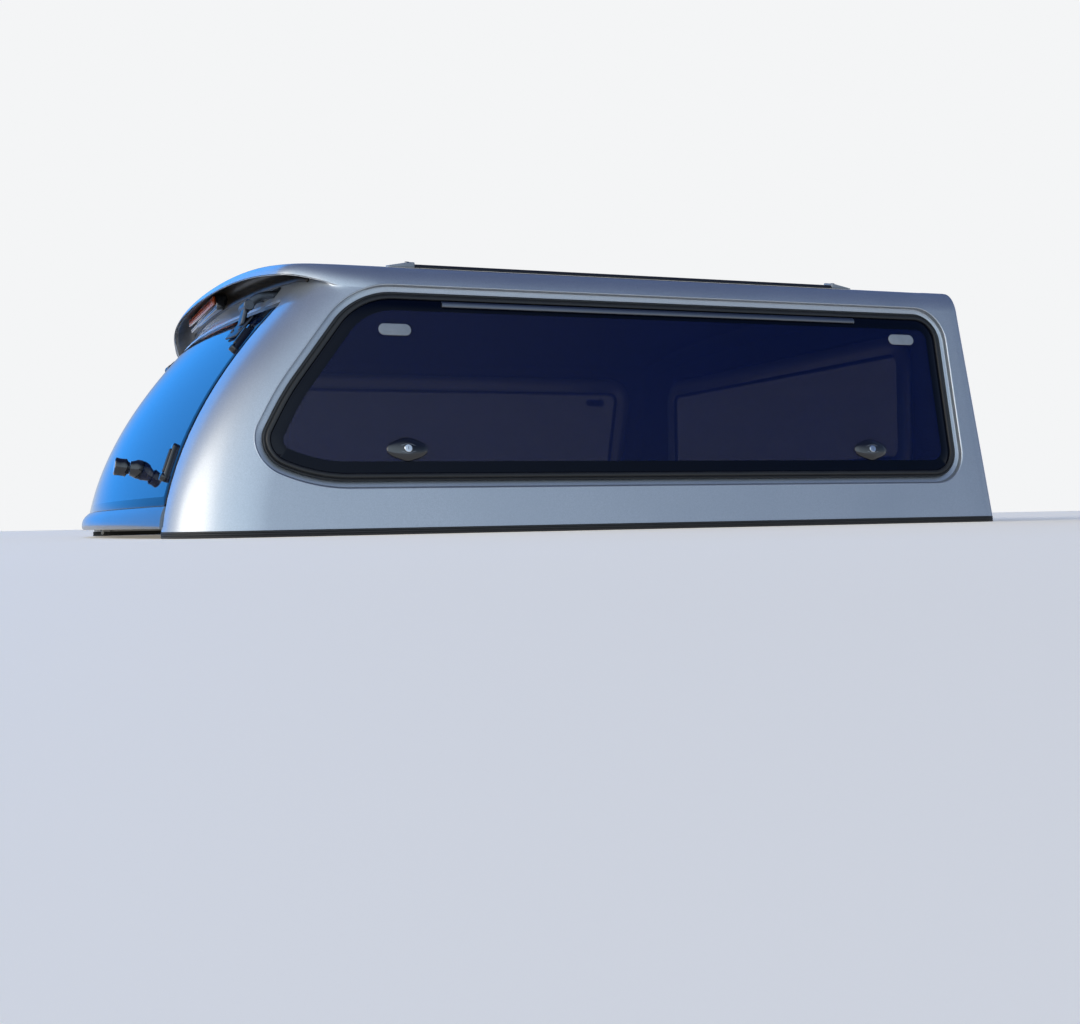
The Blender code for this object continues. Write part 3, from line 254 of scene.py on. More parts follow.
def sheet(columns: int, rows: int, place: Place,
          numbers: Optional[Sequence[int]] = None) -> bmesh.types.BMesh:
    """Grid laid on a surface, with seams and poles closed where its edges meet.

    Args:
        columns: Number of faces across.
        rows: Number of faces up.
        place: Point of the surface for a column and a row of points.
        numbers: Material number of each row of faces.

    Returns:
        The grid as a bmesh.
    """
    bm = bmesh.new()
    bmesh.ops.create_grid(bm, x_segments=columns, y_segments=rows, size=0.5)
    for face in bm.faces if numbers else ():
        face.material_index = numbers[int((face.calc_center_median().y + 0.5) * rows)]
    for vertex in bm.verts:
        first = round((vertex.co.x + 0.5) * columns)
        second = round((vertex.co.y + 0.5) * rows)
        vertex.co = place(first, second)
    bmesh.ops.remove_doubles(bm, verts=bm.verts[:], dist=0.01 * MM)
    return bm


def outward(bm: bmesh.types.BMesh, towards: Callable[[Vector], Vector]) -> None:
    """Turn the faces of an open sheet to the side that a function points to.

    Args:
        bm: Open sheet, with all its faces turned alike.
        towards: Outward direction at a point.
    """
    bmesh.ops.recalc_face_normals(bm, faces=bm.faces[:])
    total = sum(f.normal.dot(towards(f.calc_center_median())) * f.calc_area() for f in bm.faces)
    if total < 0:
        bmesh.ops.reverse_faces(bm, faces=bm.faces[:])


def mirrored(bm: bmesh.types.BMesh) -> bmesh.types.BMesh:
    """Copy of a mesh on the other side of the canopy."""
    copy = bm.copy()
    bmesh.ops.scale(copy, verts=copy.verts[:], vec=(-1.0, 1.0, 1.0))
    bmesh.ops.reverse_faces(copy, faces=copy.faces[:])
    return copy


def on_side(bm: bmesh.types.BMesh, side: int) -> bmesh.types.BMesh:
    """Mesh drawn on the right, or its mirror image for side -1."""
    if side > 0:
        return bm
    flipped = mirrored(bm)
    bm.free()
    return flipped


def both_halves(bm: bmesh.types.BMesh) -> None:
    """Mirror a right half to the left and join the two on the middle plane."""
    bmesh.ops.mirror(bm, geom=bm.verts[:] + bm.edges[:] + bm.faces[:], axis="X",
                     merge_dist=0.02 * MM)


def capped(bm: bmesh.types.BMesh) -> None:
    """Close the open ends of a mesh and turn its faces outwards."""
    bmesh.ops.holes_fill(bm, edges=bm.edges[:], sides=0)
    bmesh.ops.recalc_face_normals(bm, faces=bm.faces[:])


def bevelled(bm: bmesh.types.BMesh, edges: Sequence[bmesh.types.BMEdge], offset: float,
             segments: int) -> None:
    """Round some edges of a mesh.

    Args:
        bm: Mesh that has the edges.
        edges: Edges to round.
        offset: Radius of the rounding.
        segments: Faces across it.
    """
    bmesh.ops.bevel(bm, geom=edges, offset=offset, segments=segments, profile=0.5,
                    affect="EDGES", material=-1)


def lengthwise(bm: bmesh.types.BMesh, least: float) -> list[bmesh.types.BMEdge]:
    """Edges that run further than a distance along Y."""
    return [e for e in bm.edges if abs(e.verts[0].co.y - e.verts[1].co.y) > least]


def joined(parts: Sequence[bmesh.types.BMesh]) -> bmesh.types.BMesh:
    """Put several meshes into the first one, each with its own material numbers."""
    whole = parts[0]
    for part in parts[1:]:
        carrier = bpy.data.meshes.new("carrier")
        part.to_mesh(carrier)
        whole.from_mesh(carrier)
        bpy.data.meshes.remove(carrier)
        part.free()
    return whole


def block(size: Sequence[float], round_edges: float, segments: int = 3) -> bmesh.types.BMesh:
    """Box with rounded edges, centred on its middle.

    Args:
        size: Length, width and height.
        round_edges: Radius of the edges.
        segments: Faces across each rounded edge.
    """
    bm = bmesh.new()
    bmesh.ops.create_cube(bm, size=1.0)
    bmesh.ops.scale(bm, verts=bm.verts[:], vec=size)
    bevelled(bm, bm.edges[:], round_edges, segments)
    return bm


def capsule(length: float, width: float, height: float, edge: float) -> bmesh.types.BMesh:
    """Low block with round ends and a rounded top edge, standing on its origin.

    Args:
        length: Length over the round ends.
        width: Width, twice the radius of the ends.
        height: Height over its base.
        edge: Radius of the top edge.
    """
    bm = bmesh.new()
    bmesh.ops.create_cube(bm, size=1.0)
    bmesh.ops.scale(bm, verts=bm.verts[:], vec=(length, width, height))
    bmesh.ops.translate(bm, verts=bm.verts[:], vec=(0.0, 0.0, height / 2))
    upright = [e for e in bm.edges if abs(e.verts[0].co.z - e.verts[1].co.z) > height / 2]
    bevelled(bm, upright, width * 0.499, 12)
    bmesh.ops.remove_doubles(bm, verts=bm.verts[:], dist=0.05 * MM)
    rim = [e for e in bm.edges if all(v.co.z > height * 0.9 for v in e.verts) and len(
        e.link_faces) == 2 and any(f.normal.z < 0.5 for f in e.link_faces)]
    bevelled(bm, rim, edge, 4)
    return bm


def turned(profile: Sequence[Pair], steps: int = 48) -> bmesh.types.BMesh:
    """Turned piece about Z from a profile of (radius, height) points in millimetres.

    Args:
        profile: Points from the axis at the foot, outwards and up to the axis at the top.
        steps: Faces round the axis.
    """
    bm = bmesh.new()
    chain = [bm.verts.new((radius * MM, 0.0, height * MM)) for radius, height in profile]
    for lower, upper in zip(chain, chain[1:]):
        bm.edges.new((lower, upper))
    bmesh.ops.spin(bm, geom=bm.verts[:] + bm.edges[:], cent=(0, 0, 0), axis=(0, 0, 1),
                   steps=steps, angle=2 * math.pi, use_merge=True)
    bmesh.ops.remove_doubles(bm, verts=bm.verts[:], dist=0.01 * MM)
    bmesh.ops.recalc_face_normals(bm, faces=bm.faces[:])
    return bm


def prism(points: Sequence[Triple], travel: Triple) -> bmesh.types.BMesh:
    """Flat outline carried along a straight way."""
    bm = bmesh.new()
    face = bm.faces.new([bm.verts.new(point) for point in points])
    made = bmesh.ops.extrude_face_region(bm, geom=[face], use_keep_orig=True)
    far = [item for item in made["geom"] if isinstance(item, bmesh.types.BMVert)]
    bmesh.ops.translate(bm, verts=far, vec=travel)
    bmesh.ops.recalc_face_normals(bm, faces=bm.faces[:])
    return bm


def extruded(outline: Sequence[Pair], length: float) -> bmesh.types.BMesh:
    """Outline in X and Z, extruded along Y and centred on its length."""
    return prism([(a, -length / 2, b) for a, b in outline], (0.0, length, 0.0))


def moved(bm: bmesh.types.BMesh, matrix: Matrix) -> bmesh.types.BMesh:
    """Move a mesh by a matrix."""
    bmesh.ops.transform(bm, matrix=matrix, verts=bm.verts[:])
    return bm


def slid(bm: bmesh.types.BMesh, x: float, y: float, z: float) -> bmesh.types.BMesh:
    """Move a mesh without turning it."""
    return moved(bm, Matrix.Translation((x, y, z)))


def quarter(axis: str) -> Matrix:
    """Quarter turn about an axis."""
    return Matrix.Rotation(math.pi / 2, 4, axis)


def axes(first: Vector, second: Vector, third: Vector) -> Matrix:
    """Rotation whose X, Y and Z point along three directions."""
    return Matrix((first, second, third)).transposed().to_4x4()


def tinted(bm: bmesh.types.BMesh, number: int) -> bmesh.types.BMesh:
    """Give all faces of a mesh one material number."""
    for face in bm.faces:
        face.material_index = number
    return bm


def mesh_of(name: str, bm: bmesh.types.BMesh) -> bpy.types.Mesh:
    """Mesh data of a bmesh, which is used up."""
    mesh = bpy.data.meshes.new(name)
    bm.to_mesh(mesh)
    bm.free()
    return mesh


def linked(name: str, data: bpy.types.ID) -> bpy.types.Object:
    """New object of some data, put into the scene."""
    obj = bpy.data.objects.new(name, data)
    bpy.context.scene.collection.objects.link(obj)
    return obj


def solid_of(name: str, bm: bmesh.types.BMesh, finishes: Sequence[Finish],
             crease: float = 38.0) -> bpy.types.Object:
    """Make an object of a mesh, shaded smooth below a crease angle.

    Args:
        name: Name of the piece.
        bm: Its mesh, which is used up.
        finishes: Finish of each material number.
        crease: Angle in degrees above which an edge stays sharp.
    """
    mesh = mesh_of(name, bm)
    for finish in finishes:
        mesh.materials.append(finish.material())
    mesh.shade_smooth()
    mesh.set_sharp_from_angle(angle=math.radians(crease))
    return linked(name, mesh)


def seat(obj: bpy.types.Object, body: Body, slot: str, nodes: Sequence[str] = ()) -> None:
    """Let a finished piece ride on its body and stand for its solids.

    Args:
        obj: The finished piece.
        body: Body that it rides on.
        slot: Material slot of the record that it would take its finish from; not used.
        nodes: Names of the solids that it stands for.
    """
    if nodes:
        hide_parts(*nodes)
    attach(obj, body.value)
    LOG.info("%s: %d faces on %s", obj.name, len(obj.data.polygons), body.value)


def piece(name: str, bm: bmesh.types.BMesh, finishes: Sequence[Finish], body: Body,
          nodes: Sequence[str] = (), crease: float = 38.0) -> None:
    """Make a piece of a mesh and seat it on its body.

    Args:
        name: Name of the piece.
        bm: Its mesh, which is used up.
        finishes: Finish of each material number.
        body: Body that it rides on.
        nodes: Names of the solids that it stands for.
        crease: Angle in degrees above which an edge stays sharp.
    """
    seat(solid_of(name, bm, finishes, crease), body, finishes[0].slot, nodes)


def walled(obj: bpy.types.Object, thickness: float, offset: float) -> bpy.types.Modifier:
    """Give a sheet a wall, inwards for an offset of -1 and outwards for 1."""
    wall = obj.modifiers.new("wall", "SOLIDIFY")
    wall.thickness = thickness
    wall.offset = offset
    return wall


def settled(obj: bpy.types.Object) -> None:
    """Apply the modifiers of a piece."""
    bpy.context.view_layer.update()
    graph = bpy.context.evaluated_depsgraph_get()
    mesh = bpy.data.meshes.new_from_object(obj.evaluated_get(graph), depsgraph=graph)
    obj.modifiers.clear()
    obj.data = mesh


def mix(first: float, second: float, share: float) -> float:
    """Value between two values."""
    return first + (second - first) * share


def soft_step(share: float) -> float:
    """Share from 0 to 1 with a soft start and end."""
    share = min(1.0, max(0.0, share))
    return share * share * (3.0 - 2.0 * share)


def left_of(along: Vector) -> Vector:
    """Plan direction a quarter turn to the left of another."""
    return Vector((-along.y, along.x))


def spun(spoke: Vector, angle: float) -> Vector:
    """Plan vector turned to the left through an angle."""
    return Vector((spoke.x * math.cos(angle) - spoke.y * math.sin(angle),
                   spoke.x * math.sin(angle) + spoke.y * math.cos(angle)))


def area_of(first: Vector, second: Vector) -> float:
    """Signed area between two plan vectors, zero where they are parallel."""
    return first.x * second.y - first.y * second.x


# Outlines and the common form


def rounded(corners: Sequence[Triple], inset: float, straight: int = 14, curved: int = 16,
            closed: bool = True) -> list[Vector]:
    """Outline of a polygon with rounded corners, moved inwards.

    Args:
        corners: Corners as (a, b, radius), counter-clockwise.
        inset: Distance by which the outline is moved inwards.
        straight: Points along each straight stretch.
        curved: Points round each corner.
        closed: Whether the last corner is joined to the first.

    Returns:
        Points in order, always as many for the same corners.
    """
    count = len(corners)
    flat = [Vector(corner[:2]) for corner in corners]
    lines = []
    for index in range(count):
        along = (flat[(index + 1) % count] - flat[index]).normalized()
        lines.append((flat[index] + left_of(along) * inset, along))
    tips = []
    for index in range(count):
        (p, d), (q, e) = lines[index - 1], lines[index]
        tips.append(p + d * (((q.x - p.x) * e.y - (q.y - p.y) * e.x) / area_of(d, e)))
    if not closed:
        first, last = lines[0], lines[count - 2]
        tips[0] = flat[0] + left_of(first[1]) * inset
        tips[-1] = flat[-1] + left_of(last[1]) * inset
    turns = [lines[index - 1][1].angle(lines[index][1]) for index in range(count)]
    radii = [max(4 * MM, corner[2] - inset) for corner in corners]
    cuts = [radii[index] * math.tan(turns[index] / 2) for index in range(count)]
    arcs = []
    for index in range(count):
        after = (index + 1) % count
        back = (tips[index] - tips[index - 1]).length / (cuts[index] + cuts[index - 1])
        ahead = (tips[after] - tips[index]).length / (cuts[index] + cuts[after])
        share = min(1.0, 0.98 * back, 0.98 * ahead)
        if not closed and index in (0, count - 1):
            arcs.append([tips[index]] * (curved + 1))
            continue
        radius = share * radii[index]
        arriving = lines[index - 1][1]
        start = tips[index] - arriving * (share * cuts[index])
        centre = start + left_of(arriving) * radius
        arcs.append([centre + spun(start - centre, turns[index] * step / curved)
                     for step in range(curved + 1)])
    points = []
    for index in range(count if closed else count - 1):
        here, following = arcs[index], arcs[(index + 1) % count]
        points += here if closed or index else here[-1:]
        for step in range(1, straight):
            points.append(here[-1].lerp(following[0], step / straight))
    points.append(points[0] if closed else arcs[-1][0])
    return points


@dataclass(frozen=True)
class CanopyForm:
    """The canopy's outer skin, with the sizes that its pieces share."""

    length: float = 1.811
    width: float = 1.840
    height: float = 0.560
    base_z: float = 0.0123
    side_slope: float = 0.24
    shoulder_z: float = 0.462
    shoulder_radius: float = 0.065
    roof_crown: float = 0.049
    roof_round_share: float = 0.35
    front_corner: float = 0.040
    front_top_share: float = 0.35
    door_half: float = 0.776
    door_slope: float = 0.19
    door_top: float = 0.437
    door_bow: float = 0.060
    door_top_bow: float = 0.072
    rear_edge: float = -0.8295
    rear_lean: float = 0.145
    rear_curve: float = 0.936
    visor_y: float = -0.6695
    visor_bow: float = 0.14
    visor_droop: float = 0.8
    visor_droop_length: float = 0.150
    gap: float = 0.3 * MM

    def half_width(self, z: float) -> float:
        """Half width of the side walls at height z."""
        return self.width / 2 - self.side_slope * z

    def door_half_width(self, z: float) -> float:
        """Half width of the rear door at height z."""
        return self.door_half - self.door_slope * z

    def edge_y(self, z: float) -> float:
        """y of the rear face where the door meets the pillars."""
        rise = z - self.base_z
        return self.rear_edge + self.rear_lean * rise + self.rear_curve * rise * rise

    def bow(self, z: float) -> float:
        """How far the middle of the rear face stands out."""
        return mix(self.door_bow, self.door_top_bow, z / self.door_top)

    def turn(self, z: float) -> float:
        """Angle through which the rear corner turns."""
        return math.pi / 2 - math.atan(2 * self.bow(z) / self.door_half_width(z))

    def corner_radius(self, z: float) -> float:
        """Radius of the soft rear corner."""
        spread = self.half_width(z) - self.door_half_width(z)
        return spread / (1 - math.cos(self.turn(z)))

    def roof_z(self, x: float) -> float:
        """Height of the roof's skin."""
        share = x / self.top_x
        fall = mix(share ** 4, share ** 2, self.roof_round_share)
        return self.height - self.roof_crown * fall

    @property
    def side_angle(self) -> float:
        """Angle by which the side walls lean in."""
        return math.atan(self.side_slope)

    @property
    def shoulder_half(self) -> float:
        """Half width at the shoulder line."""
        return self.half_width(self.shoulder_z)

    @property
    def top_x(self) -> float:
        """x where the roof begins inside the shoulder."""
        bend = math.cos(self.side_angle) - math.cos(math.radians(82.0))
        return self.shoulder_half - self.shoulder_radius * bend

    def droop(self, y: float) -> float:
        """How far the visor's top has dropped at y."""
        behind = max(0.0, self.visor_y + self.visor_droop_length - y)
        return self.visor_droop * behind * behind

    def side_x(self, y: float, z: float, depth: float) -> float:
        """x of the right wall at a depth below its skin, round the rear corner too."""
        inset = depth / math.cos(self.side_angle)
        radius = self.corner_radius(z)
        start = self.edge_y(z) + radius * math.sin(self.turn(z))
        if y >= start:
            return self.half_width(z) - inset
        reach = max(0.0, (radius - inset) ** 2 - (start - y) ** 2)
        return self.half_width(z) - radius + math.sqrt(reach)

    def rear_y(self, x: float, z: float, depth: float) -> float:
        """y of the bowed rear face at a depth below its skin, round the corners too."""
        inset = depth / math.cos(self.side_angle)
        turn, half = self.turn(z), self.door_half_width(z)
        edge = half - inset * math.cos(turn)
        if abs(x) <= edge:
            back = self.bow(z) * ((edge / half) ** 2 - (x / half) ** 2)
            return self.edge_y(z) + inset * math.sin(turn) - back
        radius = self.corner_radius(z)
        start = self.edge_y(z) + radius * math.sin(turn)
        offset = abs(x) - (self.half_width(z) - radius)
        return start - math.sqrt(max(0.0, (radius - inset) ** 2 - offset ** 2))

    def point(self, face: Face, a: float, b: float, depth: float) -> Vector:
        """Point of the skin under an outline's point.

        Args:
            face: Side that the outline is drawn on.
            a: y on the sides, and x on the front and rear.
            b: z.
            depth: Depth below the outer skin.
        """
        if face is Face.RIGHT:
            return Vector((self.side_x(a, b, depth), a, b))
        if face is Face.LEFT:
            return Vector((-self.side_x(a, b, depth), a, b))
        if face is Face.FRONT:
            return Vector((a, self.length / 2 - depth, b))
        return Vector((a, self.rear_y(a, b, depth), b))

    def frame(self, face: Face, a: float, b: float, depth: float) -> Matrix:
        """Matrix of a small piece on the skin: X along the face, Y up it and Z outwards."""
        step = 2 * MM
        here = self.point(face, a, b, depth)
        along = (self.point(face, a + step, b, depth) - here).normalized()
        up = (self.point(face, a, b + step, depth) - here).normalized()
        normal = along.cross(up)
        if normal.dot(self.outwards(face)) < 0:
            along.negate()
            normal.negate()
        up = normal.cross(along)
        return Matrix.Translation(here) @ axes(along, up, normal)

    @staticmethod
    def outwards(face: Face) -> Vector:
        """Rough outward direction of a face."""
        return {Face.RIGHT: Vector((1, 0, 0.2)), Face.LEFT: Vector((-1, 0, 0.2)),
                Face.FRONT: Vector((0, 1, 0)), Face.REAR: Vector((0, -1, 0.5))}[face]


FORM = CanopyForm()
# Stretch across the canopy in which each wall is open, and height down to which the doorway is.
CUT_SPANS = {Face.RIGHT: (0.3, 1.3), Face.LEFT: (-1.3, -0.3), Face.FRONT: (0.5, 1.3),
             Face.REAR: (-1.3, -0.3)}
CUT_FOOT = -0.2
# Quarter round of a painted lip, as shares of its radius across and down.
LIP_ROUND = ((1.0, 0.0), (0.62, 0.06), (0.29, 0.29), (0.06, 0.62), (0.0, 1.0))
# Angle at which the edges of a pane stay sharp.
PANE_CREASE = 50.0


@dataclass(frozen=True)
class Opening:
    """Outline of a window or the doorway on one face."""

    face: Face
    corners: tuple[Triple, ...]
    closed: bool = True

    def ring(self, inset: float) -> list[Vector]:
        """Points of the outline at an inset."""
        return rounded(self.corners, inset, closed=self.closed)

    def strip(self, profile: Sequence[Pair]) -> bmesh.types.BMesh:
        """Strip that follows the outline.

        Args:
            profile: (inset, depth) of each line of the strip.
        """
        rings = [self.ring(inset) for inset, _ in profile]
        count = len(rings[0]) - 1

        def place(column: int, row: int) -> Vector:
            """Point of one line of the strip."""
            spot = rings[row][column]
            return FORM.point(self.face, spot.x, spot.y, profile[row][1])

        bm = sheet(count, len(profile) - 1, place)
        outward(bm, lambda _: FORM.outwards(self.face))
        return bm

    def section(self, profile: Sequence[Pair]) -> bmesh.types.BMesh:
        """Closed section carried round the outline, as a seal is."""
        bm = self.strip(list(profile) + [profile[0]])
        bmesh.ops.recalc_face_normals(bm, faces=bm.faces[:])
        if not self.closed:
            bmesh.ops.holes_fill(bm, edges=bm.edges[:], sides=0)
        return bm

    def pane(self, lines: Sequence[Triple]) -> bmesh.types.BMesh:
        """Pane with a dark edge, closed to a pole in the middle of both faces.

        Args:
            lines: (inset, scale, depth) of each ring from the back pole to the front pole. The
                faces outside the last full-size ring get material number 1.
        """
        rings = [self.ring(inset) for inset, _, _ in lines]
        centre = sum(rings[0], Vector((0.0, 0.0))) / len(rings[0])

        def place(column: int, row: int) -> Vector:
            """Point of one ring, drawn in towards the middle."""
            spot = centre + (rings[row][column] - centre) * lines[row][1]
            return FORM.point(self.face, spot.x, spot.y, lines[row][2])

        dark = [int(first[1] == 1.0 and second[1] == 1.0)
                for first, second in zip(lines, lines[1:])]
        bm = sheet(len(rings[0]) - 1, len(lines) - 1, place, dark)
        bmesh.ops.recalc_face_normals(bm, faces=bm.faces[:])
        return bm

    def cutter(self, inset: float) -> bpy.types.Object:
        """Prism that cuts the opening out of the shell."""
        ring = self.ring(inset)
        if self.closed:
            ring.pop()
        else:
            ring = [Vector((ring[0].x, CUT_FOOT))] + ring + [Vector((ring[-1].x, CUT_FOOT))]
        near, far = CUT_SPANS[self.face]
        if self.face in (Face.RIGHT, Face.LEFT):
            bm = prism([(near, spot.x, spot.y) for spot in ring], (far - near, 0.0, 0.0))
        else:
            bm = prism([(spot.x, near, spot.y) for spot in ring], (0.0, far - near, 0.0))
        return linked("cutter", mesh_of("cutter", bm))


def side_opening(face: Face) -> Opening:
    """Outline of a side window's painted recess."""
    return Opening(face, ((-0.574, 0.085, 0.31), (0.832, 0.085, 0.075), (0.847, 0.468, 0.070),
                          (-0.479, 0.468, 0.16), (-0.6295, 0.270, 0.59), (-0.701, 0.140, 0.065)))


FRONT_OPENING = Opening(Face.FRONT, ((-0.62, 0.110, 0.070), (0.62, 0.110, 0.070),
                                     (0.62, 0.440, 0.070), (-0.62, 0.440, 0.070)))


def door_opening(bottom: float, extra_top: float = 0.0) -> Opening:
    """Outline of the rear door from its foot up one side, across and down the other."""
    top = FORM.door_top + extra_top
    low, high = FORM.door_half_width(bottom), FORM.door_half_width(top)
    return Opening(Face.REAR, ((low, bottom, 0.0), (high, top, 0.016), (-high, top, 0.016),
                               (-low, bottom, 0.0)), closed=False)


@dataclass
class Shell:
    """The painted moulding: walls, roof, rear pillars and the visor over the door."""

    wall: float = 6 * MM
    lip: float = 3 * MM
    recess: float = 12 * MM
    flange: float = 40 * MM
    door_gap: float = 5 * MM
    door_top_gap: float = 10 * MM
    door_recess: float = 23.5 * MM
    base_flange: float = 45 * MM
    base_flange_height: float = 8 * MM
    visor_root: float = 0.36
    visor_wing: float = 0.2045
    visor_wing_radius: float = 0.25
    visor_corner_x: float = 0.715
    visor_corner_radius: float = 0.080
    visor_edge_share: float = 0.45
    header_z: float = 0.4485
    visor_start: float = 0.200
    visor_blend: float = 0.130
    shoulder_drop: float = 0.042
    under_back: float = 0.045
    under_up: float = 0.038
    thin_from: float = -0.430
    thin_blend: float = 0.060
    thin_share: float = 0.25
    arc_steps: int = 24
    line_steps: int = 50
    steps_past_middle: int = 10
    front_columns: int = 12
    nose_columns: int = 8
    side_columns: int = 26
    corner_columns: int = 30
    rear_columns: int = 22
    wall_rows: int = 20
    under_rows: int = 14
    edge_rows: int = 14
    roof_scales: tuple[float, ...] = (0.992, 0.98, 0.965, 0.945, 0.92, 0.89, 0.85, 0.80, 0.74,
                                      0.66, 0.56, 0.44, 0.32, 0.20, 0.10, 0.04, 0.0)
    side_end: float = math.radians(78.0)
    rear_end: float = math.radians(70.0)
    edge_line: list[Vector] = field(default_factory=list)

    @property
    def rise(self) -> float:
        """Rise of the shoulder from the wall to the roof."""
        return FORM.roof_z(FORM.top_x) - FORM.shoulder_z

    def half_columns(self) -> int:
        """Columns from the front centre to the rear centre."""
        return (self.front_columns + self.nose_columns + self.side_columns
                + self.corner_columns + self.rear_columns)

    def plan(self, column: int, z: float, inset: float, front_inset: float) -> Pair:
        """Plan point of a column at a height and an inset."""
        side = FORM.half_width(z) - inset
        front = FORM.length / 2 - front_inset
        nose = max(4 * MM, FORM.front_corner - inset)
        turn, outer = FORM.turn(z), FORM.corner_radius(z)
        radius = max(4 * MM, outer - inset)
        start = FORM.edge_y(z) + outer * math.sin(turn)
        if column < self.front_columns:
            return column / self.front_columns * (side - nose), front
        column -= self.front_columns
        if column < self.nose_columns:
            angle = math.pi / 2 * (1 - column / self.nose_columns)
            return (side - nose + nose * math.cos(angle), front - nose + nose * math.sin(angle))
        column -= self.nose_columns
        if column < self.side_columns:
            return side, mix(front - nose, start, column / self.side_columns)
        column -= self.side_columns
        edge = side - radius + radius * math.cos(turn)
        if column < self.corner_columns:
            angle = turn * column / self.corner_columns
            return side - radius + radius * math.cos(angle), start - radius * math.sin(angle)
        share = 1 - (column - self.corner_columns) / self.rear_columns
        lift = FORM.bow(z) * (edge / FORM.door_half_width(z)) ** 2
        return edge * share, start - radius * math.sin(turn) - lift * (1 - share * share)

    def heading(self, column: int) -> Vector:
        """Outward plan direction of a column on the rear corner or the rear face."""
        corner = column - self.front_columns - self.nose_columns - self.side_columns
        if corner <= 0:
            return Vector((1.0, 0.0))
        z = FORM.shoulder_z
        if corner < self.corner_columns:
            angle = FORM.turn(z) * corner / self.corner_columns
            return Vector((math.cos(angle), -math.sin(angle)))
        x, _ = self.plan(column, z, 0.0, 0.0)
        return Vector((2 * FORM.bow(z) * x / FORM.door_half_width(z) ** 2, -1.0)).normalized()

    def visor_rear(self, x: float) -> float:
        """y of the visor's bowed rear edge."""
        return FORM.visor_y + FORM.visor_bow * x * x

    def draw_edge(self) -> None:
        """Draw the visor's edge in plan, from the side wall to past the middle of the rear."""
        wing = Vector((FORM.shoulder_half, FORM.visor_y + self.visor_wing))
        tail = Vector((self.visor_corner_x, self.visor_rear(self.visor_corner_x)))
        beside = self.visor_corner_x - 3 * self.visor_corner_radius
        inner = Vector((beside, self.visor_rear(beside)))
        root = Vector((FORM.shoulder_half, FORM.visor_y + self.visor_root))
        line = [root]
        turns = ((wing, root, tail, self.visor_wing_radius),
                 (tail, wing, inner, self.visor_corner_radius))
        for corner, before, after, radius in turns:
            arriving, leaving = (corner - before).normalized(), (after - corner).normalized()
            turn = arriving.angle(leaving)
            start = corner - arriving * (radius * math.tan(turn / 2))
            centre = start - left_of(arriving) * radius
            line += [centre + spun(start - centre, -turn * step / self.arc_steps)
                     for step in range(self.arc_steps + 1)]
        last = line[-1].x
        for step in range(1, self.line_steps + self.steps_past_middle + 1):
            x = last * (1 - step / self.line_steps)
            line.append(Vector((x, self.visor_rear(x))))
        self.edge_line = line

    def reach(self, column: int) -> float:
        """How far the visor's edge stands out from the shoulder line at a column."""
        if column < self.front_columns + self.nose_columns + self.side_columns:
            return 0.0
        start = Vector(self.plan(column, FORM.shoulder_z, 0.0, 0.0))
        heading = self.heading(column)
        best = -0.05
        for first, second in zip(self.edge_line, self.edge_line[1:]):
            along = second - first
            span = area_of(heading, along)
            if abs(span) < 1e-9:
                continue
            travel = area_of(first - start, along) / span
            share = area_of(first - start, heading) / span
            if -1e-6 <= share <= 1 + 1e-6 and abs(travel) < 0.2:
                best = max(best, travel)
        soft = 6 * MM
        return (best + math.sqrt(best * best + soft * soft)) / 2

    def column_line(self, column: int) -> list[Vector]:
        """Points of one column from the base up over the shoulder or visor to the roof's middle."""
        heading, reach = self.heading(column), self.reach(column)
        rear = column >= self.front_columns + self.nose_columns + self.side_columns
        foot = Vector(self.plan(column, FORM.shoulder_z, 0.0, 0.0)) + heading * reach * rear
        ahead = FORM.visor_y + self.visor_start - foot.y
        share = soft_step(ahead / self.visor_blend) if rear else 0.0
        scale = mix(1.0, self.visor_edge_share, share)
        end = mix(self.side_end, self.rear_end, share)
        front = column < self.front_columns + self.nose_columns
        if front:
            done = max(0.0, (column - self.front_columns) / self.nose_columns)
            end = mix(math.pi / 2, self.side_end, done)
        lean = FORM.side_angle

        def ring(angle: float) -> Vector:
            """Plan point of the shoulder's round at an angle of its skin."""
            inset = FORM.shoulder_radius * (math.cos(lean) - math.cos(angle))
            spot = Vector(self.plan(column, FORM.shoulder_z, inset,
                                    inset * FORM.front_top_share))
            if rear:
                spot += heading * (reach + inset * (1 - scale))
            return spot

        top = ring(end)
        top_z = FORM.roof_z(min(abs(top.x), FORM.top_x + 5 * MM)) - FORM.droop(foot.y) * rear
        drop = self.rise * scale
        low_z = top_z - drop
        wall_z = mix(low_z - self.shoulder_drop, self.header_z, share)
        points = []
        for row in range(self.wall_rows + 1):
            z = mix(FORM.base_z, wall_z, row / self.wall_rows)
            points.append(Vector((*self.plan(column, z, 0.0, 0.0), z)))
        start, edge = points[-1], Vector((*ring(lean), low_z))
        step = 5 * MM
        higher = Vector((*self.plan(column, wall_z + step, 0.0, 0.0), wall_z + step))
        climb = (higher - start) / step
        under_z = top_z + 2 * MM
        first = start.lerp(edge, 1 / 3).lerp(start + climb * (under_z - wall_z), share)
        inwards = Vector((-heading.x, -heading.y, 0.0))
        pulled = edge + inwards * self.under_back + Vector((0.0, 0.0, self.under_up))
        second = start.lerp(edge, 2 / 3).lerp(pulled, share)
        for row in range(1, self.under_rows + 1):
            t = row / self.under_rows
            t = mix(t, 1 - (1 - t) ** 2, 0.5)
            points.append(start * (1 - t) ** 3 + first * 3 * t * (1 - t) ** 2
                          + second * 3 * t * t * (1 - t) + edge * t ** 3)
        points[-1:] = [points[-2].lerp(edge, 0.90), edge]
        for row in range(1, self.edge_rows + 1):
            t = (row / self.edge_rows) ** 1.3
            angle = mix(lean, end, t)
            climbed = (math.sin(angle) - math.sin(lean)) / (math.sin(end) - math.sin(lean))
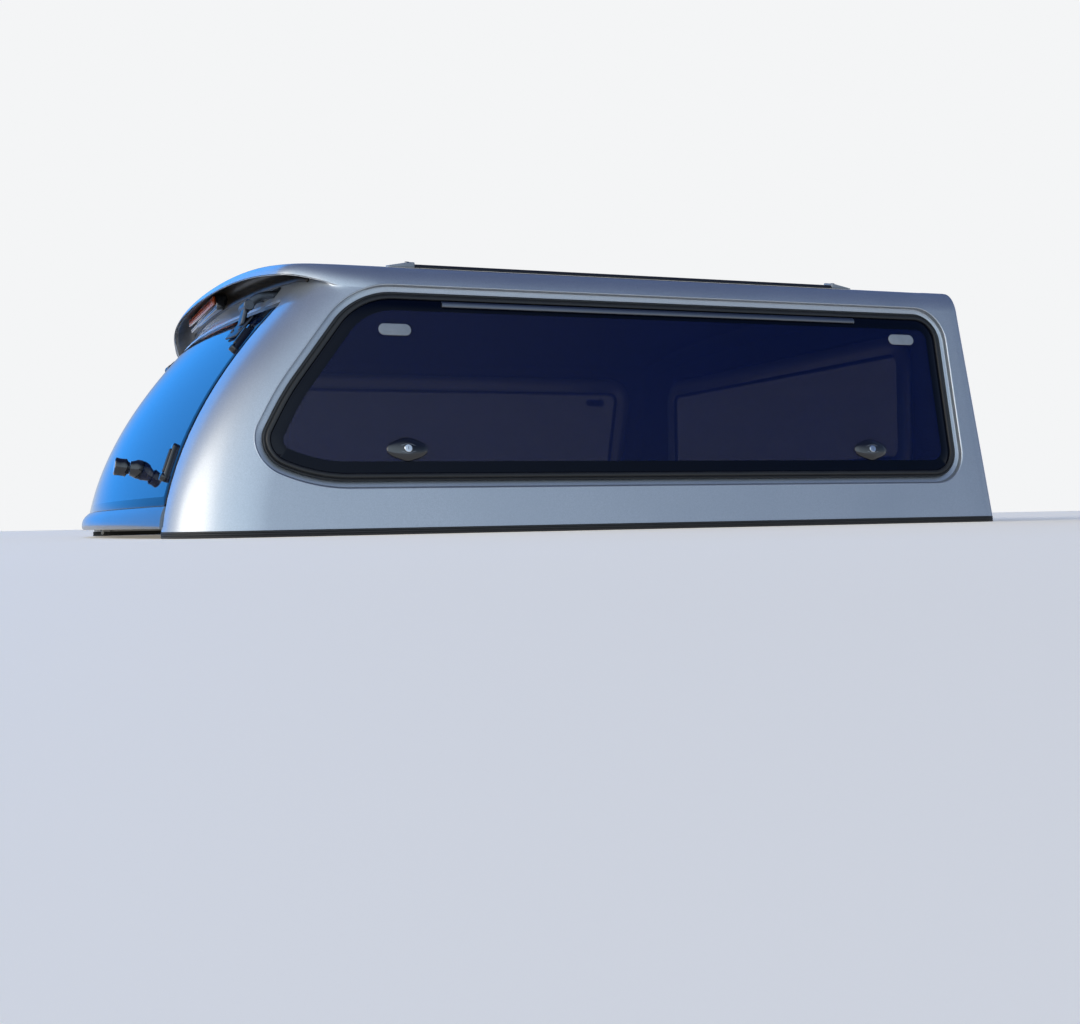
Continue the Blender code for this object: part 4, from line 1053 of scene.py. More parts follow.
            points.append(Vector((*ring(angle), low_z + drop * climbed)))
        held = (FORM.droop(foot.y) - FORM.droop(top.y)) * rear
        for size in self.roof_scales:
            x = top.x * size
            y = self.middle_y + (top.y - self.middle_y) * size
            sag = held * max(0.0, (size - 0.90) / 0.10) ** 2
            points.append(Vector((x, y, FORM.roof_z(x) - FORM.droop(y) - sag)))
        return points

    @property
    def middle_y(self) -> float:
        """y of the roof's middle, where its rings close."""
        return (FORM.length / 2 + FORM.visor_y) / 2

    def skin(self) -> bmesh.types.BMesh:
        """Outer skin of the whole moulding, open at the base."""
        self.draw_edge()
        lines = [self.column_line(column) for column in range(self.half_columns() + 1)]
        for point in lines[0] + lines[-1]:
            point.x = 0.0
        bm = sheet(len(lines) - 1, len(lines[0]) - 1, lambda column, row: lines[column][row])
        both_halves(bm)
        middle = Vector((0.0, self.middle_y, 0.2))
        outward(bm, lambda spot: spot - middle)
        weights = bm.verts.layers.deform.verify()
        for vertex in bm.verts:
            behind = soft_step((self.thin_from - vertex.co.y) / self.thin_blend)
            above = soft_step((vertex.co.z - self.header_z) / (8 * MM) + 1.0)
            vertex[weights][0] = mix(1.0, self.thin_share, behind * above)
        return bm

    def lip_round(self, edge: float) -> list[Pair]:
        """Rounded lip from the skin down into an opening whose edge lies at an inset."""
        return [(edge - self.lip * across, self.lip * down) for across, down in LIP_ROUND]

    def surround(self, opening: Opening) -> bmesh.types.BMesh:
        """Rounded lip, recess and flange round a window."""
        deep = self.recess
        return opening.strip(self.lip_round(0.0) + [
            (0.3 * MM, deep - 2 * MM), (0.9 * MM, deep - 0.6 * MM), (2.3 * MM, deep),
            (self.flange, deep)])

    def rebate(self) -> bmesh.types.BMesh:
        """Lip, rebate and flange round the doorway."""
        opening = door_opening(FORM.base_z, self.door_top_gap - self.door_gap)
        out, deep = -self.door_gap, self.door_recess
        return opening.strip(self.lip_round(out) + [
            (out, deep - 3 * MM), (out + 0.9 * MM, deep - 0.9 * MM), (out + 3 * MM, deep),
            (self.flange, deep)])

    def foot(self) -> bmesh.types.BMesh:
        """Flange on which the moulding stands, from pillar to pillar round the front."""
        count = self.half_columns() - self.rear_columns
        low, high = FORM.base_z, FORM.base_z + self.base_flange_height
        profile = ((1 * MM, low), (1 * MM, high), (self.base_flange, high),
                   (self.base_flange, low), (1 * MM, low))

        def place(column: int, row: int) -> Vector:
            """Point of the flange's section under one column of the walls."""
            inset, z = profile[row]
            return Vector((*self.plan(column, z, inset, inset), z))

        bm = sheet(count, len(profile) - 1, place)
        both_halves(bm)
        capped(bm)
        return bm

    def build(self) -> None:
        """Make the shell with its openings."""
        smooth = solid_of("skin_shading", self.skin(), [PAINT], 180.0)
        shell = linked("canopy_shell", smooth.data.copy())
        # The charcoal inside is partly painted shade of the closed interior.
        shell.data.materials.append(INSIDE_WITH_PAINTED_SHADE.material())
        shell.vertex_groups.new(name="wall")
        wall = walled(shell, self.wall, -1.0)
        wall.vertex_group = "wall"
        wall.use_even_offset = True
        wall.material_offset = 1
        windows = [side_opening(Face.RIGHT), side_opening(Face.LEFT), FRONT_OPENING]
        cutters = [window.cutter(-self.lip) for window in windows]
        doorway = door_opening(FORM.base_z, self.door_top_gap - self.door_gap)
        cutters.append(doorway.cutter(-self.door_gap - self.lip))
        for cutter in cutters:
            cut = shell.modifiers.new("opening", "BOOLEAN")
            cut.operation = "DIFFERENCE"
            cut.solver = "EXACT"
            cut.object = cutter
        keep = shell.modifiers.new("shading", "DATA_TRANSFER")
        keep.object = smooth
        keep.use_loop_data = True
        keep.data_types_loops = {"CUSTOM_NORMAL"}
        keep.loop_mapping = "POLYINTERP_NEAREST"
        keep.use_max_distance = True
        keep.max_distance = 0.4 * MM
        settled(shell)
        for used in cutters + [smooth]:
            bpy.data.objects.remove(used, do_unlink=True)
        seat(shell, Body.CANOPY, PAINT.slot, ["shell"])
        for window in windows:
            self.thick("window_surround_" + window.face.value, self.surround(window))
        self.thick("doorway_rebate", self.rebate())
        piece("base_flange", self.foot(), [PAINT], Body.CANOPY)

    def thick(self, name: str, bm: bmesh.types.BMesh) -> None:
        """Give a painted strip its wall and seat it."""
        strip = solid_of(name, bm, [PAINT], 60.0)
        walled(strip, self.wall * 0.9, -1.0)
        settled(strip)
        seat(strip, Body.CANOPY, PAINT.slot)


def pane_rings(edge: float, frit: float, back: float, front: float, rim: Sequence[Pair],
               scales: Sequence[float]) -> list[Triple]:
    """Rings of a pane from the pole of its back, over its edge, to the pole of its front.

    Args:
        edge: Inset of the pane's edge.
        frit: Width of the dark fired edge on the front.
        back: Depth of the back face.
        front: Depth of the front face.
        rim: (inset, depth) of the rings over the edge.
        scales: Sizes of the rings on each face, growing from the pole.
    """
    lines = [(edge, size, back) for size in scales]
    lines += [(edge + inset, 1.0, depth) for inset, depth in rim]
    lines.append((edge + frit, 1.0, front))
    return lines + [(edge + frit, size, front) for size in reversed(scales)]


@dataclass
class SideWindow:
    """Fixed pane of one side, with its gasket, hinge rail, strut pads and locks."""

    face: Face
    seat_depth: float = 11.7 * MM
    glass: float = 5 * MM
    seal_outer: float = 12 * MM
    seal_width: float = 14 * MM
    rail_height: float = 12 * MM
    rail_proud: float = 5.2 * MM
    rail_z: float = 0.434
    rail_span: Pair = (-0.307, 0.615)
    frit: float = 22 * MM
    pads: tuple[Pair, ...] = ((-0.403, 0.382), (0.730, 0.396))
    pad_size: Triple = (63 * MM, 23 * MM, 2.6 * MM)
    dish_size: Triple = (46 * MM, 11 * MM, 0.6 * MM)
    ends: tuple[str, ...] = ("rear", "front")
    locks: tuple[Pair, ...] = ((-0.399, 0.155), (0.607, 0.155))
    lock_radius: float = 23.0
    section: tuple[Pair, ...] = ((0.2, 7.6), (0.9, 6.4), (2.3, 5.8), (4.0, 6.3), (5.0, 7.6),
                                 (5.6, 7.6), (6.4, 5.2), (8.0, 4.1), (10.4, 3.8), (12.8, 4.6),
                                 (14.0, 6.7))

    @property
    def word(self) -> str:
        """Name of the side."""
        return self.face.value

    @property
    def opening(self) -> Opening:
        """Outline of the window."""
        return side_opening(self.face)

    def seal_profile(self) -> list[Pair]:
        """Section of the gasket, with two lips and a groove between them."""
        low, outer = self.seat_depth, self.seal_outer
        lips = [(outer + across * MM, depth * MM) for across, depth in self.section]
        return [(outer, low), *lips, (outer + self.seal_width, low)]

    def pane_lines(self) -> list[Triple]:
        """Rings of the pane from the back pole over its edge to the front pole."""
        edge = self.seal_outer + self.seal_width + FORM.gap
        back, front = self.seat_depth, self.seat_depth - self.glass
        soft = 0.8 * MM
        rim = ((soft, back), (0.0, back - soft), (0.0, front + soft), (soft, front))
        return pane_rings(edge, self.frit, back, front, rim, (0.0, 0.15, 0.35, 0.55, 0.75, 0.9))

    def build(self) -> None:
        """Make every piece of the window."""
        self.build_pane(self.opening, self.word, "window_seal_" + self.word,
                        "window_glass_" + self.word)
        self.build_rail()
        for end, spot in zip(self.ends, self.pads):
            self.build_pad(end + "_" + self.word, spot)
        for end, spot in zip(self.ends, self.locks):
            self.build_lock(end + "_" + self.word, spot)

    def build_pane(self, opening: Opening, word: str, seal: str, glass: str) -> None:
        """Gasket and framed pane of an opening.

        Args:
            opening: Outline that they fill.
            word: Name of the side.
            seal: Name of the seal's solid.
            glass: Name of the glass's solid.
        """
        piece("gasket_" + word, opening.section(self.seal_profile()), [GASKET], Body.CANOPY,
              [seal])
        piece("pane_" + word, opening.pane(self.pane_lines()), [PRIVACY_GLASS, FRIT],
              Body.CANOPY, [glass], PANE_CREASE)

    def on_glass(self, a: float, b: float) -> Matrix:
        """Frame of a fitting on the outside of the pane."""
        depth = self.seat_depth - self.glass - FORM.gap
        return FORM.frame(self.face, a, b, depth)

    def build_rail(self) -> None:
        """Extruded hinge rail along the top of the pane."""
        length = self.rail_span[1] - self.rail_span[0]
        middle = sum(self.rail_span) / 2
        high, half = self.rail_proud, self.rail_height / 2
        outline = [(-half, 0.0), (half, 0.0), (half, high * 0.35), (half * 0.55, high * 0.5),
                   (half * 0.35, high), (-half * 0.6, high), (-half, high * 0.7)]
        bm = extruded(outline, length)
        bevelled(bm, lengthwise(bm, length / 2), 0.5 * MM, 2)
        moved(bm, self.on_glass(middle, self.rail_z) @ quarter("Z"))
        piece("hinge_rail_" + self.word, bm, [ANODISED], Body.CANOPY,
              ["window_hinge_" + self.word])

    def build_pad(self, name: str, spot: Pair) -> None:
        """Bonded pad that holds a strut's end behind the glass."""
        base = capsule(*self.pad_size, 1.5 * MM)
        dish = slid(capsule(*self.dish_size, 0.3 * MM), 0.0, 0.0, 2.4 * MM)
        bm = moved(joined([base, dish]), self.on_glass(*spot))
        piece("pad_" + name, bm, [GREY_ACETAL], Body.CANOPY, ["strut_pad_" + name])

    def build_lock(self, name: str, spot: Pair) -> None:
        """Eye-shaped lock body with a bright key barrel."""
        wide = self.lock_radius
        body = turned([(0, 0), (wide, 0), (wide, 1.6), (22.4, 3.0), (19, 5.6), (14, 7.8),
                       (10, 9.0), (8.4, 9.3), (7.9, 8.6), (0, 8.6)], 72)
        for vertex in body.verts:
            away = abs(vertex.co.x) / (wide * MM)
            vertex.co.x *= mix(1.0, 1.69, soft_step((away - 0.36) / 0.64))
        grip = self.grip_plate()
        barrel = turned([(0, 8.4), (7.4, 8.4), (7.4, 9.3), (6.8, 9.9), (4.6, 10.0), (0, 10.0)],
                        32)
        slot = slid(block((1.2 * MM, 6.5 * MM, 0.6 * MM), 0.2 * MM, 1), 0.0, 0.0, 9.75 * MM)
        bm = joined([body, tinted(barrel, 1), tinted(slot, 2), tinted(grip, 3)])
        moved(bm, self.on_glass(*spot))
        piece("lock_" + name, bm, [GLOSS_BLACK, CHROME, GASKET, GREY_ACETAL], Body.CANOPY,
              ["window_lock_" + name])

    @staticmethod
    def grip_plate() -> bmesh.types.BMesh:
        """Pointed grey plate that lies across a lock, with a hole for its barrel."""
        plate = turned([(8.5, 9.0), (11.0, 9.25), (11.0, 8.0), (8.5, 7.0), (8.5, 9.0)], 64)
        for vertex in plate.verts:
            away = math.hypot(vertex.co.x, vertex.co.y)
            if away < 10 * MM:
                continue
            reach = (abs(vertex.co.x) / away) ** 6
            vertex.co.x *= mix(1.0, 2.75, reach)
            vertex.co.y *= mix(0.86, 1.0, reach)
            vertex.co.z -= 4.1 * MM * reach
        return plate


@dataclass
class RearDoor:
    """Curved glass door with its garnish, covers, seal and handle."""

    glass: float = 6 * MM
    garnish_low: float = 0.018
    garnish_nose: float = 0.034
    garnish_top: float = 0.058
    garnish_proud: float = 15.4 * MM
    garnish_end_proud: float = 4 * MM
    garnish_depth: float = 8 * MM
    seal_inset: float = 12 * MM
    seal_width: float = 12 * MM
    seal_depth: float = 23.2 * MM
    seal_height: float = 4.2 * MM
    frit: float = 18 * MM
    garnish_columns: int = 72
    cover_width: float = 16 * MM
    upper_ends: tuple[Pair, ...] = ((0.028, 0.083), (0.040, 0.040))
    lower_ends: tuple[Pair, ...] = ((0.038, 0.111), (0.041, 0.167))
    handle_x: float = 0.50035
    handle_z: float = 0.135
    handle_tilt: float = math.radians(8.0)

    def build(self) -> None:
        """Make every piece of the door."""
        self.build_glass()
        self.build_garnish()
        self.build_seal()
        half = FORM.door_half_width
        top = FORM.door_top
        upper = [(half(top - drop) - inset, top - drop) for inset, drop in self.upper_ends]
        lower = [(half(z) - inset, z) for inset, z in self.lower_ends]
        for side, word in SIDES:
            self.build_cover("upper_cover_" + word, side, upper)
            self.build_cover("lower_cover_" + word, side, lower)
        self.build_handle()

    def build_glass(self) -> None:
        """Curved pane with ground edges."""
        low = self.garnish_top + FORM.gap
        half_low, half_top = FORM.door_half_width(low), FORM.door_half_width(FORM.door_top)
        opening = Opening(Face.REAR, ((-half_low, low, 5 * MM), (half_low, low, 5 * MM),
                                      (half_top, FORM.door_top, 12 * MM),
                                      (-half_top, FORM.door_top, 12 * MM)))
        deep = self.glass
        rim = ((1.5 * MM, deep), (0.4 * MM, deep - 0.5 * MM), (0.0, deep - 1.5 * MM),
               (0.0, 1.5 * MM), (0.4 * MM, 0.5 * MM), (1.5 * MM, 0.0))
        scales = (0.0, 0.1, 0.2, 0.3, 0.4, 0.5, 0.6, 0.7, 0.8, 0.9)
        pane = opening.pane(pane_rings(0.0, self.frit, deep, 0.0, rim, scales))
        piece("door_glass", pane, [REAR_GLASS, FRIT], Body.DOOR, ["rear_glass"], PANE_CREASE)

    def build_garnish(self) -> None:
        """Painted strip under the glass, fullest in the middle."""
        nose = (self.garnish_nose - self.garnish_low) / (self.garnish_top - self.garnish_low)
        shape = [(0.0, -1.0), (0.0, 0.55), (0.03, 0.74), (0.12, 0.89), (nose * 0.6, 0.97),
                 (nose, 1.0), (nose + 0.2, 0.93), (nose + 0.38, 0.70), (0.90, 0.40),
                 (0.96, 0.27), (1.0, 0.12), (1.0, -1.0)]

        def place(column: int, row: int) -> Vector:
            """Point of the strip's section, carried along its bowed foot."""
            share = 1 - 2 * column / self.garnish_columns
            up, out = shape[row % len(shape)]
            z = mix(self.garnish_low, self.garnish_top, up)
            proud = mix(self.garnish_end_proud, self.garnish_proud, 1 - share * share)
            x = share * FORM.door_half_width(z)
            away = -self.garnish_depth if out < 0 else proud * out
            return Vector((x, FORM.rear_y(x, z, 0.0) - away, z))

        bm = sheet(self.garnish_columns, len(shape), place)
        capped(bm)
        # The strip's darker coat is painted shade.
        piece("garnish", bm, [STRIP_PAINT_WITH_PAINTED_SHADE], Body.DOOR, ["door_garnish"], 45.0)

    def build_seal(self) -> None:
        """Bulb seal on the doorway's flange."""
        deep, low = self.seal_depth, self.seal_inset
        width, high = self.seal_width, self.seal_height
        profile = [(low, deep)]
        for step in range(9):
            angle = math.pi * step / 8
            profile.append((low + width / 2 - width / 2 * math.cos(angle),
                            deep - 0.6 * MM - (high - 0.6 * MM) * math.sin(angle)))
        profile.append((low + width, deep))
        piece("bulb_seal", door_opening(self.garnish_low).section(profile), [GASKET],
              Body.CANOPY, ["doorway_seal"])

    def build_cover(self, name: str, side: int, ends: Sequence[Pair]) -> None:
        """Moulded cover over a strut's mount, with a cap at its lower end."""
        (low_x, low_z), (high_x, high_z) = ends
        foot = FORM.point(Face.REAR, low_x, low_z, -FORM.gap)
        head = FORM.point(Face.REAR, high_x, high_z, -FORM.gap)
        along = (head - foot).normalized()
        place = FORM.frame(Face.REAR, (low_x + high_x) / 2, (low_z + high_z) / 2, -FORM.gap)
        normal = place.to_3x3() @ Vector((0, 0, 1))
        across = normal.cross(along).normalized()
        normal = along.cross(across)
        middle = (foot + head) / 2 - normal * 0.2 * MM
        matrix = Matrix.Translation(middle) @ axes(along, across, normal)
        length = (head - foot).length + self.cover_width
        body = capsule(length, self.cover_width, 7.5 * MM, 3.4 * MM)
        ridge = capsule(length * 0.62, self.cover_width * 0.62, 3.4 * MM, 2.4 * MM)
        slid(ridge, 2 * MM, 0.0, 7.0 * MM)
        cap = turned([(0, 0), (8.0, 0), (8.0, 8.6), (7.0, 10.6), (4.0, 11.7), (0, 11.9)], 32)
        slid(cap, -(length - self.cover_width) / 2, 0.0, 0.0)
        bm = on_side(moved(joined([body, tinted(ridge, 1), cap]), matrix), side)
        piece("strut_" + name, bm, [GLOSS_BLACK, BLACK_NYLON], Body.DOOR, [name])

    def build_handle(self) -> None:
        """Turned base on the glass and the oval knob with its finger ridge."""
        foot = FORM.point(Face.REAR, self.handle_x, self.handle_z, 0.0)
        out = Vector((0.0, -math.cos(self.handle_tilt), math.sin(self.handle_tilt)))
        side = Vector((1.0, 0.0, 0.0))
        up = out.cross(side)
        matrix = Matrix.Translation(foot) @ axes(side, up, out)
        base = turned([(0, 2), (18, 2), (19, 5), (19, 9), (17.6, 12), (15.6, 17), (14.8, 20),
                       (14, 21.6), (0, 22)])
        for vertex in base.verts:
            if vertex.co.z < 6 * MM:
                x, z = self.handle_x + vertex.co.x, self.handle_z + vertex.co.y
                spot = FORM.point(Face.REAR, x, z, -FORM.gap)
                vertex.co.z = max(vertex.co.z - 6 * MM + 1 * MM, (spot - foot).dot(out))
        piece("knob_base", moved(base, matrix), [GLOSS_BLACK], Body.DOOR, ["handle_base"])
        knob = turned([(0, 22.3), (12, 22.3), (12.4, 25.4), (13.6, 26.4), (14.0, 29),
                       (13.4, 33), (13.2, 42), (13.8, 47), (13.6, 49.6), (12.2, 51.0),
                       (6, 51.3), (0, 51.3)])
        for vertex in knob.verts:
            vertex.co.y *= mix(1.0, 1.28, soft_step((vertex.co.z - 25 * MM) / (4 * MM)))
        ridge = slid(block((6 * MM, 30 * MM, 6 * MM), 2.4 * MM), 0.0, 0.0, 48.0 * MM)
        piece("knob", moved(joined([knob, ridge]), matrix), [GLOSS_BLACK], Body.HANDLE,
              ["door_handle"])


@dataclass
class Hinges:
    """Two hinges under the visor, with brackets on the header and arms on the glass."""

    x: float = 0.586
    pin_y: float = -0.636
    pin_z: float = 0.450
    foot_z: float = 0.474
    arm_width: float = 40 * MM
    ear_width: float = 10 * MM
    side_gap: float = 0.5 * MM
    plate_size: Triple = (64 * MM, 53.75 * MM, 4.5 * MM)
    plate_drop: float = 30.5 * MM
    strap_length: float = 34 * MM
    strap_height: float = 9 * MM
    strap_lap: float = 8 * MM
    neck_columns: int = 20
    neck_rows: int = 10

    def build(self) -> None:
        """Make both hinges."""
        for side, word in SIDES:
            self.build_arm(side, word)
            self.build_bracket(side, word)

    def on_pin(self, bm: bmesh.types.BMesh, x: float) -> bmesh.types.BMesh:
        """Lay a turned piece along the pin, with its middle at x."""
        return slid(moved(bm, quarter("Y")), x, self.pin_y, self.pin_z)

    def build_arm(self, side: int, word: str) -> None:
        """Barrel, strap and clamp plate on the glass."""
        barrel = turned([(4.5, -20), (9, -20), (10, -19), (10, 19), (9, 20), (4.5, 20),
                         (4.5, -20)], 40)
        self.on_pin(barrel, self.x)
        plate_frame = FORM.frame(Face.REAR, self.x, FORM.door_top - self.plate_drop, -FORM.gap)
        plate = block(self.plate_size, 1.8 * MM)
        moved(plate, plate_frame @ Matrix.Translation((0.0, 0.0, 2.9 * MM)))
        strap = block((self.arm_width, self.strap_length, self.strap_height), 3 * MM)
        start = Vector((self.x, self.pin_y - 3 * MM, self.pin_z - 4 * MM))
        target = plate_frame @ Vector((0.0, 8 * MM, 5 * MM))
        along = target - start
        stretch = (along.length + self.strap_lap) / self.strap_length
        along.normalize()
        across = Vector((1.0, 0.0, 0.0))
        normal = across.cross(along).normalized()
        matrix = Matrix.Translation((start + target) / 2) @ axes(across, along, normal)
        moved(strap, matrix @ Matrix.Diagonal((1.0, stretch, 1.0, 1.0)))
        parts = [barrel, plate, strap]
        for offset in (-22 * MM, 22 * MM):
            head = turned([(0, 0), (5, 0), (5, 1.2), (4.2, 2.3), (2.2, 2.5), (2.0, 1.2),
                           (0, 1.2)], 24)
            spot = Matrix.Translation((offset, -8 * MM, 4.9 * MM))
            parts.append(moved(head, plate_frame @ spot))
        bm = on_side(joined(parts), side)
        # The dark zinc is painted shade under the visor.
        piece("hinge_strap_" + word, bm, [DARK_ZINC_WITH_PAINTED_SHADE], Body.DOOR, ["hinge_arm_" + word])

    def build_bracket(self, side: int, word: str) -> None:
        """Pin between two round ears on a swept neck that stands on the header."""
        inner = self.arm_width / 2 + self.side_gap
        outer = inner + self.ear_width
        half = outer / MM + 1
        pin = turned([(0, -half), (4, -half), (4, half), (0, half)], 24)
        parts = [self.on_pin(pin, self.x)]
        for sign in (-1, 1):
            middle = self.x + sign * (inner + self.ear_width / 2)
            ear = turned([(4, -5), (9, -5), (10.5, -3.5), (10.5, 3.5), (9, 5), (4, 5)], 36)
            parts += [self.on_pin(ear, middle), self.neck(middle)]
        foot = block((2 * outer - 2 * MM, 26 * MM, 8 * MM), 2.5 * MM)
        spot = FORM.frame(Face.REAR, self.x, self.foot_z, 0.0)
        parts.append(moved(foot, spot @ Matrix.Translation((0.0, 0.0, 3.6 * MM))))
        bm = on_side(joined(parts), side)
        # The dark zinc is painted shade under the visor.
        piece("hinge_neck_" + word, bm, [DARK_ZINC_WITH_PAINTED_SHADE], Body.CANOPY, ["hinge_bracket_" + word])

    def neck(self, middle: float) -> bmesh.types.BMesh:
        """Swept neck from an ear down on to the header."""
        top = Vector((middle, self.pin_y + 4 * MM, self.pin_z + 3 * MM))
        end = FORM.point(Face.REAR, middle, self.foot_z, -2 * MM)
        bend = Vector((middle, self.pin_y + 12 * MM, self.pin_z + 20 * MM))

        def place(column: int, row: int) -> Vector:
            """Point of the neck's oval section along its swept middle line."""
            t = row / self.neck_rows
            spot = top * (1 - t) ** 2 + bend * 2 * t * (1 - t) + end * t * t
            ahead = (bend - top) * (1 - t) + (end - bend) * t
            ahead.normalize()
            wide = Vector((1.0, 0.0, 0.0))
            high = wide.cross(ahead)
            angle = 2 * math.pi * column / self.neck_columns
            radius = mix(9.0, 7.0, t) * MM
            return spot + wide * (self.ear_width * 0.48 * math.cos(angle)) + high * (
                radius * math.sin(angle))

        bm = sheet(self.neck_columns, self.neck_rows, place)
        capped(bm)
        return bm


@dataclass
class VisorFittings:
    """Dark sheet of painted shade under the visor, and the brake light on it."""

    light_y: float = -0.618
    light_width: float = 0.400
    light_height: float = 34 * MM
    light_depth: float = 30 * MM
    lens_height: float = 18 * MM
    lens_width: float = 0.380
    lens_thickness: float = 6 * MM
    lamps: int = 19
    shade_sheet_reach: float = 9 * MM
    shade_sheet_wall: float = 2 * MM

    def build(self, shell: Shell) -> None:
        """Make the dark sheet of painted shade, the housing and the lens."""
        self.build_shade_sheet(shell)
        top = FORM.roof_z(self.light_width / 2) - FORM.droop(self.light_y) - 16 * MM
        low = top - self.light_height
        housing = block((self.light_width, self.light_depth, self.light_height), 3 * MM)
        slid(housing, 0.0, self.light_y, (top + low) / 2)
        rib = block((self.light_width - 16 * MM, 3 * MM, 4 * MM), 1.2 * MM)
        slid(rib, 0.0, self.light_y - self.light_depth / 2, low + 6 * MM)
        piece("brake_light_body", joined([housing, rib]), [GLOSS_BLACK], Body.CANOPY,
              ["brake_light_housing"])
        face_y = self.light_y - self.light_depth / 2 - FORM.gap - self.lens_thickness / 2
        middle_z = top - 3 * MM - self.lens_height / 2
        lens = block((self.lens_width, self.lens_thickness, self.lens_height), 2 * MM)
        parts = [slid(lens, 0.0, face_y, middle_z)]
        pitch = (self.lens_width - 30 * MM) / (self.lamps - 1)
        for number in range(self.lamps):
            dome = turned([(6.5, 0), (5.8, 0.7), (3.6, 1.3), (0, 1.5)], 20)
            moved(dome, quarter("X"))
            x = (number - (self.lamps - 1) / 2) * pitch
            y = face_y - self.lens_thickness / 2 + 0.2 * MM
            parts.append(slid(dome, x, y, middle_z))
        piece("brake_light_cover", joined(parts), [RED_ACRYLIC], Body.CANOPY,
              ["brake_light_lens"])

    def build_shade_sheet(self, shell: Shell) -> None:
        """Thin dark sheet of painted shade that follows the visor's hollow between the header and
        the rim.
        """
        last = shell.half_columns()
        first = next(column for column in range(last) if shell.reach(column) > self.shade_sheet_reach)
        lines = [shell.column_line(column) for column in range(first, last + 1)]
        start = shell.wall_rows + 2
        rows = shell.under_rows - 3
        for point in lines[-1]:
            point.x = 0.0
        bm = sheet(len(lines) - 1, rows, lambda column, row: lines[column][start + row])
        both_halves(bm)
        outward(bm, lambda _: Vector((0.0, -0.3, -1.0)))
        bm.normal_update()
        for vertex in bm.verts:
            vertex.co += vertex.normal * 0.4 * MM
        # This dark sheet is painted shade under the visor.
        shade_sheet = solid_of("visor_painted_shade", bm, [VISOR_PAINTED_SHADE], 60.0)
        walled(shade_sheet, self.shade_sheet_wall, 1.0)
        settled(shade_sheet)
        seat(shade_sheet, Body.CANOPY, VISOR_PAINTED_SHADE.slot, ["visor_liner"])


@dataclass
class BaseGaskets:
    """Rubber gaskets between the moulding's foot and the tub's rails."""

    height: float = 12 * MM
    set_back: float = 1 * MM
    width: float = 39 * MM
    round_edge: float = 1.5 * MM

    def profile(self) -> list[Pair]:
        """Section as (inset, height), with rounded outer edges and a bead between two grooves."""
        near, far = self.set_back, self.set_back + self.width
        top, soft = self.height, self.round_edge
        return [(near + soft, 0.0), (near + 0.4 * MM, 0.5 * MM), (near, soft), (near, 3.6 * MM),
                (near + 1.1 * MM, 4.2 * MM), (near + 0.2 * MM, 5.0 * MM), (near, 6.2 * MM),
                (near + 0.2 * MM, 7.4 * MM), (near + 1.1 * MM, 8.2 * MM), (near, 8.8 * MM),
                (near, top - soft), (near + 0.4 * MM, top - 0.5 * MM), (near + soft, top),
                (far, top), (far, 0.0), (near + soft, 0.0)]

    def build(self, shell: Shell) -> None:
        """Make the front gasket and both side gaskets."""
        corner = shell.front_columns + shell.nose_columns
        last = shell.half_columns() - shell.rear_columns
        split = FORM.length / 2 - self.set_back - self.width
        front = self.strip(shell, 0, corner, split, split + 1.0)
        both_halves(front)
        side = self.strip(shell, corner, last, -split, split - FORM.gap)
        made = (("cab_end", "front", front), ("left_rail", "left", mirrored(side)),
                ("right_rail", "right", side))
        for name, word, bm in made:
            capped(bm)
            piece("gasket_" + name, bm, [GASKET], Body.CANOPY, ["base_seal_" + word])

    def strip(self, shell: Shell, first: int, last: int, low: float,
              high: float) -> bmesh.types.BMesh:
        """Stretch of the gasket along the shell's foot.

        Args:
            shell: Shell whose plan it follows.
            first: Column of the shell at which it begins.
            last: Column at which it ends.
            low: Lowest y that a point may have.
            high: Highest y that a point may have.
        """
        section = self.profile()

        def place(column: int, row: int) -> Vector:
            """Point of the gasket's section under one column of the walls."""
            inset, z = section[row]
            x, y = shell.plan(first + column, 0.0, inset, inset)
            return Vector((x, min(high, max(low, y)), z))

        return sheet(last - first, len(section) - 1, place)


